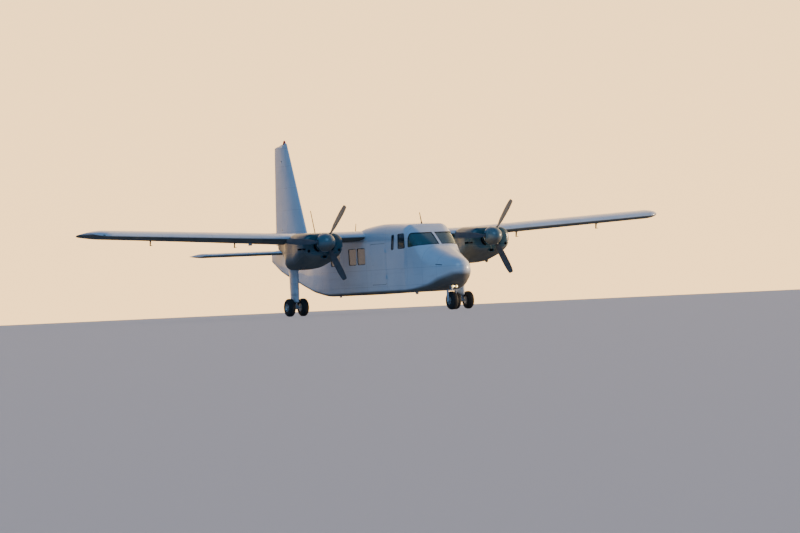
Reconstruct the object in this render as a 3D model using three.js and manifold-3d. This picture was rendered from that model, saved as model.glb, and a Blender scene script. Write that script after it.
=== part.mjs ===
// Twin-engined high-wing light utility aeroplane, parked on its fixed tricycle gear.
// Millimetres. +X is to port, +Y is aft, +Z is up.
// The origin is on the floor under the middle of the aeroplane.
import * as THREE from "three";
import { mergeVertices } from "three/addons/utils/BufferGeometryUtils.js";
import Module from "manifold-3d";

const wasm = await Module();
wasm.setup();

// Driving dimensions
const SPAN = 14940;
const LENGTH = 10860;
const GAP = 0.3; // between pieces that are fastened together
const CLEAR = 7; // round a piece that moves
const WALL = 40; // cabin wall, lining included
const TAIL_WALL = 25;
const COWL_WALL = 15;
const SKIN = 14; // of the hollow tail surfaces
const NOSE_AXLE = 710; // station of the nose wheel
const WHEELBASE = 3990;
const MAIN_AXLE = NOSE_AXLE + WHEELBASE;
const ENGINE_X = 2200; // each engine, nacelle and main leg
const HUB_Z = 1720;
const PROP_RADIUS = 1010;
const TYRE_RADIUS = 215;
const TYRE_WIDTH = 170;
const RIM_RADIUS = 96;
const TWIN_SPACING = 350;
const WHEEL_SIDES = 24;
const FLOOR_Z = 605; // top of the cabin floor
const SILL_Z = 660; // bottom of the doors
const DOOR_TOP_Z = 1640;

// Stations are measured aft from the nose tip.
const at = (station) => station - LENGTH / 2;
const rad = THREE.MathUtils.degToRad;

// Paint and metal as seen on the aeroplane
const finish = (color, roughness, metalness = 0) =>
  new THREE.MeshStandardMaterial({ color, roughness, metalness });
const white = finish(0xe8ebef, 0.35);
const nacelleBlue = finish(0x4b6276, 0.35);
const glass = finish(0x27414b, 0.08);
const rubber = finish(0x15161a, 0.85);
const alloy = finish(0xb4b7ba, 0.4, 0.8);
const chrome = finish(0xd5d8da, 0.15, 1);
const darkMetal = finish(0x33373b, 0.6, 0.5);
const black = finish(0x1d1f22, 0.6);
const cloth = finish(0x4a5361, 0.9);
const carpet = finish(0x4b4e52, 0.95);

const aeroplane = new THREE.Group();

// Points and triangles as a solid that can be joined and cut, turned right side out
function solidFrom(vertProperties, triVerts) {
  const made = new wasm.Manifold(new wasm.Mesh({ numProp: 3, vertProperties, triVerts }));
  if (made.volume() > 0) return made;
  return new wasm.Manifold(new wasm.Mesh({ numProp: 3, vertProperties, triVerts: triVerts.toReversed() }));
}

// A closed three.js geometry as a solid
function solidOf(geometry, matrix = new THREE.Matrix4()) {
  const source = geometry.index ? geometry.toNonIndexed() : geometry;
  const bare = new THREE.BufferGeometry();
  bare.setAttribute("position", source.getAttribute("position").clone());
  bare.applyMatrix4(matrix);
  const merged = mergeVertices(bare, 1e-3);
  return solidFrom(merged.attributes.position.array, new Uint32Array(merged.index.array));
}

function mirrored(solid) {
  const { vertProperties, triVerts } = solid.getMesh();
  const flipped = vertProperties.map((value, i) => (i % 3 === 0 ? -value : value));
  return solidFrom(flipped, triVerts);
}

const join = (first, ...others) => others.reduce((sum, next) => sum.add(next), first);
const cut = (first, ...others) => others.reduce((rest, next) => rest.subtract(next), first);
const common = (first, ...others) => others.reduce((rest, next) => rest.intersect(next), first);

function add(name, solid, material) {
  const { vertProperties, triVerts } = solid.asOriginal().simplify(0.1).getMesh();
  const geometry = new THREE.BufferGeometry();
  geometry.setAttribute("position", new THREE.BufferAttribute(vertProperties, 3));
  geometry.setIndex(new THREE.BufferAttribute(triVerts, 1));
  geometry.computeVertexNormals();
  const mesh = new THREE.Mesh(geometry, material);
  mesh.name = name;
  aeroplane.add(mesh);
}

function addPair(name, portSolid, material) {
  add(`${name}_port`, portSolid, material);
  add(`${name}_starboard`, mirrored(portSolid), material);
}

// A box by its limits: across, along by stations, and up
function box([x0, x1], [s0, s1], [z0, z1]) {
  const geometry = new THREE.BoxGeometry(x1 - x0, s1 - s0, z1 - z0);
  geometry.translate((x0 + x1) / 2, at((s0 + s1) / 2), (z0 + z1) / 2);
  return solidOf(geometry);
}

// Radius of a hole in which a bar of that radius turns freely, both of them with flat sides
const ROUND_SIDES = 12;
const boreFor = (radius, sides = ROUND_SIDES) => (radius + GAP) / Math.cos(Math.PI / sides);

// A round bar between two points, or a cone where the radii differ
function bar(from, to, radius, radiusTo = radius, sides = ROUND_SIDES) {
  const a = new THREE.Vector3(...from);
  const b = new THREE.Vector3(...to);
  const direction = b.clone().sub(a);
  const geometry = new THREE.CylinderGeometry(radiusTo, radius, direction.length(), sides);
  const turn = new THREE.Quaternion();
  turn.setFromUnitVectors(new THREE.Vector3(0, 1, 0), direction.normalize());
  const middle = a.add(b).multiplyScalar(0.5);
  return solidOf(geometry, new THREE.Matrix4().compose(middle, turn, new THREE.Vector3(1, 1, 1)));
}

// A skin through rings of points that run the same way round, closed by a flat cap at each end
function loft(rings) {
  const count = rings[0].length;
  const last = rings.length - 1;
  const faces = [];
  const point = (ring, index) => ring * count + (index % count);
  for (let ring = 0; ring < last; ring += 1) {
    for (let i = 0; i < count; i += 1) {
      faces.push(point(ring, i), point(ring + 1, i), point(ring, i + 1));
      faces.push(point(ring, i + 1), point(ring + 1, i), point(ring + 1, i + 1));
    }
  }
  for (let i = 1; i + 1 < count; i += 1) {
    faces.push(point(0, 0), point(0, i), point(0, i + 1));
    faces.push(point(last, 0), point(last, i + 1), point(last, i));
  }
  const geometry = new THREE.BufferGeometry();
  geometry.setAttribute("position", new THREE.Float32BufferAttribute(rings.flat(2), 3));
  geometry.setIndex(faces);
  return solidOf(geometry);
}

// A flat outline of [station, height] points with round corners, as a block across the aeroplane
const CORNER_SEGMENTS = 2;
function sideBlock(points, radius, [x0, x1], shrink = 0) {
  const mean = (axis) => points.reduce((sum, point) => sum + point[axis], 0) / points.length;
  const [middleS, middleZ] = [mean(0), mean(1)];
  const inwards = (value, middle) => value - Math.sign(value - middle) * shrink;
  const corners = points.map(([s, z]) => new THREE.Vector2(inwards(s, middleS), inwards(z, middleZ)));
  const shape = new THREE.Shape();
  corners.forEach((corner, i) => {
    const before = corners.at(i - 1);
    const after = corners[(i + 1) % corners.length];
    const start = corner.clone().add(before.clone().sub(corner).setLength(radius));
    const end = corner.clone().add(after.clone().sub(corner).setLength(radius));
    if (i === 0) shape.moveTo(start.x, start.y);
    else shape.lineTo(start.x, start.y);
    shape.quadraticCurveTo(corner.x, corner.y, end.x, end.y);
  });
  const geometry = new THREE.ExtrudeGeometry(shape, {
    depth: x1 - x0,
    bevelEnabled: false,
    curveSegments: CORNER_SEGMENTS,
  });
  const acrossAlongUp = new THREE.Matrix4().set(0, 0, 1, x0, 1, 0, 0, at(0), 0, 1, 0, 0, 0, 0, 0, 1);
  return solidOf(geometry, acrossAlongUp);
}
const corners4 = ([s0, s1], [z0, z1]) => [[s0, z0], [s1, z0], [s1, z1], [s0, z1]];

// A body's frames: boxes with round corners that stand across the aeroplane at their stations
const FRAME_COLUMNS = ["station", "half", "bottom", "top", "low", "high"];
const named = (row) => Object.fromEntries(FRAME_COLUMNS.map((key, i) => [key, row[i]]));
const framesOf = (rows) => rows.map(named);
const CORNER_STEPS = 4;

function frameRing({ station, half, bottom, top, low, high }, centreX, inset) {
  const lowRadius = Math.max(low - inset, 4);
  const highRadius = Math.max(high - inset, 4);
  const lowX = half - inset - lowRadius;
  const highX = half - inset - highRadius;
  const lowZ = bottom + inset + lowRadius;
  const highZ = top - inset - highRadius;
  const arcs = [
    { x: lowX, z: lowZ, radius: lowRadius, from: -90 },
    { x: highX, z: highZ, radius: highRadius, from: 0 },
    { x: -highX, z: highZ, radius: highRadius, from: 90 },
    { x: -lowX, z: lowZ, radius: lowRadius, from: 180 },
  ];
  const ring = [];
  for (const arc of arcs) {
    for (let step = 0; step <= CORNER_STEPS; step += 1) {
      const angle = rad(arc.from + (90 * step) / CORNER_STEPS);
      const x = centreX + arc.x + arc.radius * Math.cos(angle);
      ring.push([x, at(station), arc.z + arc.radius * Math.sin(angle)]);
    }
  }
  return ring;
}
function bodyLoft(frames, centreX = 0, inset = 0) {
  return loft(frames.map((frame) => frameRing(frame, centreX, inset)));
}

// The row of a table at any place along it, between its two neighbours
function rowAt(rows, key, place) {
  const next = rows.findIndex((row) => row[key] >= place);
  if (next === 0) return { ...rows[0], [key]: place };
  if (next < 0) return { ...rows.at(-1), [key]: place };
  const before = rows[next - 1];
  const after = rows[next];
  const share = (place - before[key]) / (after[key] - before[key]);
  const between = (name) => before[name] + (after[name] - before[name]) * share;
  return Object.fromEntries(Object.keys(before).map((name) => [name, between(name)]));
}
function rowsBetween(rows, key, from, to) {
  const inside = rows.filter((row) => row[key] > from && row[key] < to);
  return [rowAt(rows, key, from), ...inside, rowAt(rows, key, to)];
}

// Fuselage frames from the nose tip to the tail end
const FUSELAGE = framesOf([
  [0, 60, 900, 1030, 60, 60],
  [50, 155, 800, 1105, 140, 140],
  [220, 290, 695, 1208, 225, 260],
  [550, 420, 605, 1320, 220, 370],
  [950, 506, 512, 1455, 160, 420],
  [1140, 534, 490, 1525, 145, 420],
  [1620, 582, 460, 1875, 108, 290],
  [1940, 605, 453, 2055, 92, 245],
  [3300, 605, 450, 2100, 90, 230],
  [4200, 605, 445, 2045, 90, 200],
  [4750, 605, 440, 1960, 90, 170],
  [6150, 605, 435, 1930, 90, 170],
  [7200, 545, 530, 1900, 100, 190],
  [8000, 440, 660, 1850, 110, 200],
  [9000, 300, 850, 1780, 130, 150],
  [10050, 150, 1075, 1700, 90, 80],
  [LENGTH, 40, 1370, 1640, 30, 30],
]);
const NOSE_END = 1140;
const CABIN_END = 7200;
function fuselagePart(from, to, inset = 0) {
  return bodyLoft(rowsBetween(FUSELAGE, "station", from, to), 0, inset);
}

// Wing ribs from the middle outwards: leading edge station and height, chord, nose-up setting in degrees
const DIHEDRAL = 0.05; // rise outboard of the engines
const JOINT_X = 2800; // where the outer panels meet the centre section
const WING_LE = 4060;
const WING_Z = 1840;
const CHORD = 2050;
const TIP_X = 7150; // where the tip cap starts
const TIP_Z = WING_Z + DIHEDRAL * (TIP_X - ENGINE_X);
const WING = [
  { x: 0, le: WING_LE, z: WING_Z, chord: CHORD, setting: 2 },
  { x: ENGINE_X, le: WING_LE, z: WING_Z, chord: CHORD, setting: 2 },
  { x: TIP_X, le: WING_LE, z: TIP_Z, chord: 1800, setting: 0 },
  { x: SPAN / 2 - 60, le: WING_LE + 150, z: TIP_Z + 45, chord: 1480, setting: 0 },
  { x: SPAN / 2, le: WING_LE + 420, z: TIP_Z + 70, chord: 900, setting: 0 },
];
const WING_SECTION = { thickness: 0.12, camber: 0.018 };

// Tailplane ribs, port half
const TAILPLANE_Z = 1600;
const TAILPLANE_LE = 9750;
const TAILPLANE_CHORD = 1100;
const TAILPLANE_HALF = 2335;
const TAILPLANE = [
  { x: -1, le: TAILPLANE_LE, z: TAILPLANE_Z, chord: TAILPLANE_CHORD, setting: 0 },
  { x: TAILPLANE_HALF - 60, le: TAILPLANE_LE, z: TAILPLANE_Z, chord: TAILPLANE_CHORD, setting: 0 },
  { x: TAILPLANE_HALF, le: TAILPLANE_LE + 110, z: TAILPLANE_Z, chord: TAILPLANE_CHORD - 220, setting: 0 },
];
const TAILPLANE_SECTION = { thickness: 0.1, camber: 0 };

// Half thickness and middle line of a wing section, as shares of its chord, at a share t of it
function halfThickness(t, thickness) {
  const rising = 0.2969 * Math.sqrt(t) + 0.2843 * t ** 3;
  const falling = 0.126 * t + 0.3516 * t ** 2 + 0.1 * t ** 4;
  return 5 * thickness * (rising - falling);
}
const CAMBER_PEAK = 0.3;
function middleLine(t, camber) {
  if (t < CAMBER_PEAK) return (camber * (2 * CAMBER_PEAK * t - t ** 2)) / CAMBER_PEAK ** 2;
  return (camber * (1 - 2 * CAMBER_PEAK + 2 * CAMBER_PEAK * t - t ** 2)) / (1 - CAMBER_PEAK) ** 2;
}

// Points of a section from the trailing edge over the top to the nose and back below
const SECTION_STEPS = 7;
function sectionPoints(chord, { thickness, camber }, grow) {
  const points = [];
  for (let i = -SECTION_STEPS; i <= SECTION_STEPS; i += 1) {
    const t = (1 - Math.cos((Math.PI * Math.abs(i)) / SECTION_STEPS)) / 2;
    const half = halfThickness(t, thickness) * chord + grow;
    const along = t * chord + grow * (2 * t - 1);
    points.push({ along, up: middleLine(t, camber) * chord - Math.sign(i) * half });
  }
  return points;
}

// A lying surface through ribs that stand along x
function lyingSurface(ribs, section, grow = 0) {
  const rings = ribs.map((rib) => {
    const turn = rad(rib.setting);
    return sectionPoints(rib.chord, section, grow).map(({ along, up }) => [
      rib.x,
      at(rib.le) + along * Math.cos(turn) + up * Math.sin(turn),
      rib.z + up * Math.cos(turn) - along * Math.sin(turn),
    ]);
  });
  return loft(rings);
}
function wingPart(from, to, grow = 0) {
  return lyingSurface(rowsBetween(WING, "x", from, to), WING_SECTION, grow);
}

// A point on the middle line of the wing, at a share of the chord
function wingPoint(x, share) {
  const rib = rowAt(WING, "x", x);
  const turn = rad(rib.setting);
  const along = share * rib.chord;
  const up = middleLine(share, WING_SECTION.camber) * rib.chord;
  const aft = along * Math.cos(turn) + up * Math.sin(turn);
  return [x, at(rib.le) + aft, rib.z + up * Math.cos(turn) - along * Math.sin(turn)];
}

// A hinged surface and the fixed part that carries it.
// The surface has a round nose about its axis, and the cove round it is wider by the clearance.
// Plates on the fixed part reach into slots of the surface and carry a pin on the axis.
const PIN_RADIUS = 8;
const PIN_SIDES = 8;
const PLATE = 14;
const SLOT = PLATE + 2 * CLEAR;
const PIN_ENGAGED = 25;
const FAR = 1500;
function hinged({ whole, axis, noseRadius, hinges = [0.15, 0.85], openBelow = false }) {
  const start = new THREE.Vector3(...axis[0]);
  const span = new THREE.Vector3(...axis[1]).sub(start);
  const length = span.length();
  const along = span.normalize();
  const up = new THREE.Vector3().crossVectors(along, new THREE.Vector3(0, 1, 0)).normalize();
  const aft = new THREE.Vector3().crossVectors(up, along);
  const place = new THREE.Matrix4().makeBasis(along, aft, up).setPosition(start);
  const block = ([x0, x1], [y0, y1], [z0, z1]) => {
    const geometry = new THREE.BoxGeometry(x1 - x0, y1 - y0, z1 - z0);
    geometry.translate((x0 + x1) / 2, (y0 + y1) / 2, (z0 + z1) / 2);
    return solidOf(geometry, place);
  };
  const round = (x0, x1, radius, sides = 16) => {
    const geometry = new THREE.CylinderGeometry(radius, radius, x1 - x0, sides);
    geometry.rotateZ(Math.PI / 2);
    geometry.translate((x0 + x1) / 2, 0, 0);
    return solidOf(geometry, place);
  };
  const cove = noseRadius + CLEAR;
  const behind = block([0, length], [0, FAR], [-FAR, FAR]);
  let surface = common(whole, join(behind, round(0, length, noseRadius)));
  const room = join(
    block([-CLEAR, length + CLEAR], [0, FAR], [-FAR, FAR]),
    round(-CLEAR, length + CLEAR, cove),
    ...(openBelow ? [block([-CLEAR, length + CLEAR], [-cove, 1], [-FAR, 0])] : []),
  );
  let fixed = cut(whole, room);
  for (const share of hinges) {
    const x = share * length;
    const half = SLOT / 2;
    const boreHalf = half + PIN_ENGAGED + 4;
    const bore = round(x - boreHalf, x + boreHalf, boreFor(PIN_RADIUS, PIN_SIDES), PIN_SIDES);
    surface = cut(surface, round(x - half, x + half, cove), bore);
    const reach = 1.6 * PIN_RADIUS;
    const plate = block([x - PLATE / 2, x + PLATE / 2], [-cove - 30, 0], [-reach, reach]);
    const eye = round(x - PLATE / 2, x + PLATE / 2, 2 * PIN_RADIUS, PIN_SIDES);
    const pin = round(x - half - PIN_ENGAGED, x + half + PIN_ENGAGED, PIN_RADIUS, PIN_SIDES);
    fixed = join(fixed, plate, eye, pin);
  }
  return { surface, fixed };
}

// Wing, flaps and ailerons
const HINGE_SHARE = 0.78; // hinge lines of the flaps and ailerons, as a share of the chord
const FLAP_NOSE = 60;
const FLAP_INBOARD = [720, 2130];
const FLAP_OUTBOARD = [2850, 4560];
const AILERON = [4590, 7060];
const JACK_PAD_X = 3300;
const JACK_PAD = { radius: 45, bottom: 1735 };
{
  const hangOn = (whole, [from, to], openBelow) =>
    hinged({
      whole,
      axis: [wingPoint(from, HINGE_SHARE), wingPoint(to, HINGE_SHARE)],
      noseRadius: FLAP_NOSE,
      openBelow,
    });
  const inner = hangOn(wingPart(-1, JOINT_X), FLAP_INBOARD, true);
  const outerFlap = hangOn(wingPart(JOINT_X + GAP, SPAN / 2), FLAP_OUTBOARD, true);
  const aileron = hangOn(outerFlap.fixed, AILERON, false);
  const padY = at(WING_LE + 0.35 * CHORD);
  const pad = bar([JACK_PAD_X, padY, JACK_PAD.bottom], [JACK_PAD_X, padY, WING_Z], JACK_PAD.radius);
  add("wing_centre", join(inner.fixed, mirrored(inner.fixed)), white);
  addPair("wing_outer", join(aileron.fixed, pad), white);
  addPair("flap_inboard", inner.surface, white);
  addPair("flap_outboard", outerFlap.surface, white);
  addPair("aileron", aileron.surface, white);
}
const wingRoom = join(wingPart(-1, JOINT_X - 5, GAP), mirrored(wingPart(-1, JOINT_X - 5, GAP)));

// Doors: the hinge line is at the front edge, just outside the skin.
const HINGE_OUT = 16;
const KNUCKLE = 12;
const KNUCKLE_HEIGHT = 45;
const KNUCKLE_PIN = 6;
const KNUCKLE_ROOT = 8; // how deep a hinge leaf sits in the skin
const KNUCKLE_INSET = 130; // from the door's top and bottom
const HINGE_LEAF = 50;
const DOOR_CORNER = 60;
const DOORS = [
  { name: "pilot_door", side: 1, stations: [2960, 3600], heights: [SILL_Z, DOOR_TOP_Z] },
  { name: "starboard_door", side: -1, stations: [2960, 3800], heights: [SILL_Z, DOOR_TOP_Z] },
  { name: "rear_door", side: 1, stations: [5400, 6120], heights: [SILL_Z, DOOR_TOP_Z] },
  { name: "baggage_door", side: 1, stations: [6300, 6900], heights: [820, 1440] },
];
const THROUGH_WALL = [420, 760];
const WHIP = { foot: 8, tip: 5, sides: 8 };
const WHIPS = [
  { name: "cockpit_aerial", foot: [0, at(2150), 2040], tip: [0, at(2250), 2330] },
  { name: "roof_aerial", foot: [0, at(5920), 1890], tip: [0, at(5850), 2180] },
];
const doorBlock = ({ stations, heights }, shrink) =>
  sideBlock(corners4(stations, heights), DOOR_CORNER, THROUGH_WALL, shrink);

// Hinge knuckles of one door, on the port side: those of the wall, those of the door, and the room for them
function doorKnuckles({ stations: [front], heights: [bottom, top] }, wallX) {
  const axisX = wallX + HINGE_OUT;
  const knuckle = (z, radius, height) =>
    bar([axisX, at(front), z], [axisX, at(front), z + height], radius);
  const onWall = [];
  const onDoor = [];
  const bores = [];
  for (const z of [bottom + KNUCKLE_INSET, top - KNUCKLE_INSET - 2 * KNUCKLE_HEIGHT]) {
    const upper = z + KNUCKLE_HEIGHT + 1;
    const rootX = wallX - KNUCKLE_ROOT;
    const aft = front + HINGE_LEAF;
    onWall.push(knuckle(z, KNUCKLE, KNUCKLE_HEIGHT), knuckle(z, KNUCKLE_PIN, 2 * KNUCKLE_HEIGHT - 5));
    onWall.push(box([rootX, axisX], [front - HINGE_LEAF, front], [z, z + KNUCKLE_HEIGHT]));
    onDoor.push(knuckle(upper, KNUCKLE, KNUCKLE_HEIGHT));
    onDoor.push(box([rootX, axisX], [front + KNUCKLE + 1, aft], [upper, upper + KNUCKLE_HEIGHT]));
    onDoor.push(box([axisX - 4, axisX + KNUCKLE], [front, aft], [upper, upper + KNUCKLE_HEIGHT]));
    bores.push(knuckle(upper - 1, boreFor(KNUCKLE_PIN), 2 * KNUCKLE_HEIGHT));
  }
  return { onWall, onDoor, bores };
}

// Windows of one side, as [station, height] corners
const WINDSCREEN = [[1040, 1565], [1760, 1500], [1735, 1850], [1040, 1850]];
const POST_HALF = 30; // windscreen centre post
const COCKPIT_WINDOWS = [
  [[1880, 1490], [2285, 1480], [2260, 1840], [1900, 1848]],
  [[2505, 1470], [2660, 1465], [2590, 1825], [2435, 1835]],
];
const CABIN_WINDOWS = [corners4([4110, 4560], [1160, 1560]), corners4([4620, 5060], [1160, 1560])];
const REAR_WINDOW = corners4([5560, 6090], [1160, 1520]);
const DOOR_WINDOW = corners4([5560, 6000], [1160, 1520]);
const WINDOW_CORNER = 55;
const windowBlock = (points, shrink = 0) => sideBlock(points, WINDOW_CORNER, THROUGH_WALL, shrink);
const PANE = 6;
const paneLayer = (from, to, inset) =>
  cut(fuselagePart(from, to, inset), fuselagePart(from - 50, to + 50, inset + PANE));
const sidePane = (from, to, heights) =>
  common(paneLayer(from, to, WALL + GAP), box(THROUGH_WALL, [from, to], heights));

// Cabin shell, doors and glass
{
  const outer = fuselagePart(NOSE_END + GAP, CABIN_END);
  const wall = cut(outer, fuselagePart(NOSE_END - 50, CABIN_END + 50, WALL));
  const screen = sideBlock(WINDSCREEN, WINDOW_CORNER, [POST_HALF, 760]);
  const glazed = [screen, ...[...COCKPIT_WINDOWS, ...CABIN_WINDOWS].map((points) => windowBlock(points))];
  let shell = cut(
    wall,
    wingRoom,
    ...glazed,
    ...glazed.map(mirrored),
    mirrored(windowBlock(REAR_WINDOW)),
  );
  for (const door of DOORS) {
    const wallX = rowAt(FUSELAGE, "station", door.stations[0]).half;
    const { onWall, onDoor, bores } = doorKnuckles(door, wallX);
    const toSide = door.side > 0 ? (solid) => solid : mirrored;
    const leaf = common(wall, toSide(doorBlock(door, CLEAR + 1)));
    const leafWithWindow = door.name === "rear_door" ? cut(leaf, windowBlock(DOOR_WINDOW)) : leaf;
    shell = join(cut(shell, toSide(doorBlock(door, 0))), ...onWall.map(toSide));
    add(door.name, cut(join(leafWithWindow, ...onDoor.map(toSide)), ...bores.map(toSide)), white);
  }
  const bellyBlade = box([-6, 6], [6820, 6990], [400, 560]);
  add("cabin_shell", join(shell, bellyBlade), white);
  for (const { name, foot, tip } of WHIPS) {
    const whip = bar(foot, tip, WHIP.foot, WHIP.tip, WHIP.sides);
    add(name, cut(whip, fuselagePart(NOSE_END, CABIN_END, -GAP)), black);
  }
  const screenPane = common(
    cut(fuselagePart(NOSE_END + 1, 2040, 14), fuselagePart(NOSE_END - 50, 2140, 14 + PANE)),
    sideBlock(WINDSCREEN, WINDOW_CORNER, [POST_HALF + GAP, 760], 0.4),
  );
  addPair("windscreen", screenPane, glass);
  addPair("cockpit_window", sidePane(1860, 2690, [1440, 1800]), glass);
  addPair("cabin_window", sidePane(4080, 5090, [1130, 1590]), glass);
  add("rear_window", mirrored(sidePane(5530, 6120, [1130, 1550])), glass);
  add("rear_door_window", sidePane(5530, 6030, [1130, 1550]), glass);
}

// Nose and tail cone. The nose leg's top stands in a well of the nose.
const LEG_WELL = { radius: 55, top: 760 };
{
  const well = bar([0, at(NOSE_AXLE), 300], [0, at(NOSE_AXLE), LEG_WELL.top], LEG_WELL.radius);
  add("nose", cut(fuselagePart(0, NOSE_END), well), white);
}

// Fin ribs stand one above the other, so the fin is a lying surface turned up about the fore and aft axis.
const FIN_SECTION = { thickness: 0.1, camber: 0 };
const FIN_FOOT_Z = 1560;
const FIN_TOP_Z = 4330;
const finRib = (z, le, te) => ({ x: z, le, z: 0, chord: te - le, setting: 0 });
const FIN = [
  finRib(FIN_FOOT_Z, 8540, 10640),
  finRib(FIN_TOP_Z - 60, 9715, 10480),
  finRib(FIN_TOP_Z, 9830, 10400),
];
const turnedUp = (solid) => {
  const { vertProperties, triVerts } = solid.getMesh();
  const turned = vertProperties.slice();
  for (let i = 0; i < turned.length; i += 3) {
    turned[i] = -vertProperties[i + 2];
    turned[i + 2] = vertProperties[i];
  }
  return solidFrom(turned, triVerts);
};
function finPart(from, to, grow = 0) {
  return turnedUp(lyingSurface(rowsBetween(FIN, "x", from, to), FIN_SECTION, grow));
}
const RUDDER_AXIS = [[0, at(10150), 1790], [0, at(10010), FIN_TOP_Z - 90]];
const RUDDER_NOSE = 62;
const ELEVATOR_HINGE = TAILPLANE_LE + 0.62 * TAILPLANE_CHORD;
const ELEVATOR = [190, TAILPLANE_HALF - 80];
const ELEVATOR_NOSE = 40;
const TORQUE_TUBE = 20;
{
  const onHinge = (x) => [x, at(ELEVATOR_HINGE), TAILPLANE_Z];
  const tubeRoom = bar(onHinge(-ELEVATOR[0] - 40), onHinge(ELEVATOR[0] + 40), TORQUE_TUBE + CLEAR);
  const half = lyingSurface(TAILPLANE, TAILPLANE_SECTION);
  const { surface, fixed } = hinged({
    whole: half,
    axis: ELEVATOR.map(onHinge),
    noseRadius: ELEVATOR_NOSE,
  });
  const tube = bar(onHinge(-ELEVATOR[0] - 20), onHinge(ELEVATOR[0] + 20), TORQUE_TUBE);
  const openX = ELEVATOR[0] + CLEAR + 1;
  const openFrom = ELEVATOR_HINGE - 60;
  const aftMiddle = box([-openX, openX], [openFrom, LENGTH + 200], [1300, 1900]);
  const innerRibs = [TAILPLANE[0], { ...TAILPLANE[1], x: TAILPLANE_HALF - 120 }];
  const hollow = common(
    lyingSurface(innerRibs, TAILPLANE_SECTION, -SKIN),
    box([-10, TAILPLANE_HALF], [TAILPLANE_LE, ELEVATOR_HINGE - 110], [1400, 1800]),
  );
  const lightening = box([-60, 60], [TAILPLANE_LE + 250, TAILPLANE_LE + 450], [1400, TAILPLANE_Z]);
  const tailplane = cut(join(fixed, mirrored(fixed)), aftMiddle, hollow, mirrored(hollow), lightening);
  const elevator = join(surface, mirrored(surface), tube);
  const tailplaneRoom = join(
    lyingSurface(TAILPLANE, TAILPLANE_SECTION, GAP),
    mirrored(lyingSurface(TAILPLANE, TAILPLANE_SECTION, GAP)),
  );
  const ahead = box([-TAILPLANE_HALF, TAILPLANE_HALF], [TAILPLANE_LE - 5, openFrom + GAP], [1400, 1800]);
  const slotForMiddle = common(tailplaneRoom, ahead);
  const coneOuter = fuselagePart(CABIN_END + GAP, LENGTH);
  const coneHollow = fuselagePart(CABIN_END - 50, 10300, TAIL_WALL);
  const whip = bar([0, at(8270), 1790], [0, at(8660), 2730], WHIP.foot, WHIP.tip, WHIP.sides);
  add("tail_cone", cut(join(cut(coneOuter, coneHollow), whip), slotForMiddle, tubeRoom), white);
  add("tailplane", tailplane, white);
  add("elevator", elevator, white);

  const wholeFin = finPart(FIN_FOOT_Z, FIN_TOP_Z);
  const finAbove = cut(wholeFin, fuselagePart(8000, LENGTH, -GAP), slotForMiddle, tubeRoom);
  const rudderParts = hinged({ whole: finAbove, axis: RUDDER_AXIS, noseRadius: RUDDER_NOSE });
  const finInside = finPart(FIN_FOOT_Z, FIN_TOP_Z - 200, -SKIN);
  const finHollow = common(finInside, box([-200, 200], [8000, 9880], [1500, 4200]));
  const beacon = bar([0, at(9900), FIN_TOP_Z - 30], [0, at(9900), FIN_TOP_Z + 70], 40, 24, 12);
  add("fin", join(cut(rudderParts.fixed, finHollow), beacon), white);
  add("rudder", rudderParts.surface, white);
}

// Nacelle frames about the engine's own middle line, spinner end to tail
const NACELLE = framesOf([
  [2960, 430, 1430, 1880, 210, 190],
  [3040, 515, 1340, 1930, 290, 230],
  [3300, 520, 1245, 1950, 320, 220],
  [3500, 500, 1190, 1955, 320, 200],
  [3800, 455, 1125, 1965, 300, 180],
  [4300, 400, 1100, 1900, 290, 150],
  [4650, 270, 1110, 1880, 200, 130],
  [4950, 130, 1250, 1860, 110, 90],
  [5250, 70, 1500, 1830, 60, 60],
  [5550, 28, 1620, 1760, 25, 25],
]);
const COWL_FRONT = 2960;
const FIREWALL = 3800;
const NACELLE_END = 5550;
function nacellePart(from, to, inset = 0) {
  return bodyLoft(rowsBetween(NACELLE, "station", from, to), ENGINE_X, inset);
}
const INTAKE = { across: [205, 330], heights: [1500, 1650] };
const CHIN = { half: 55, stations: [2900, 3100], heights: [1350, 1412] };
const ENGINE = { half: 370, front: 3160, heights: [1520, 1840] };
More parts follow.
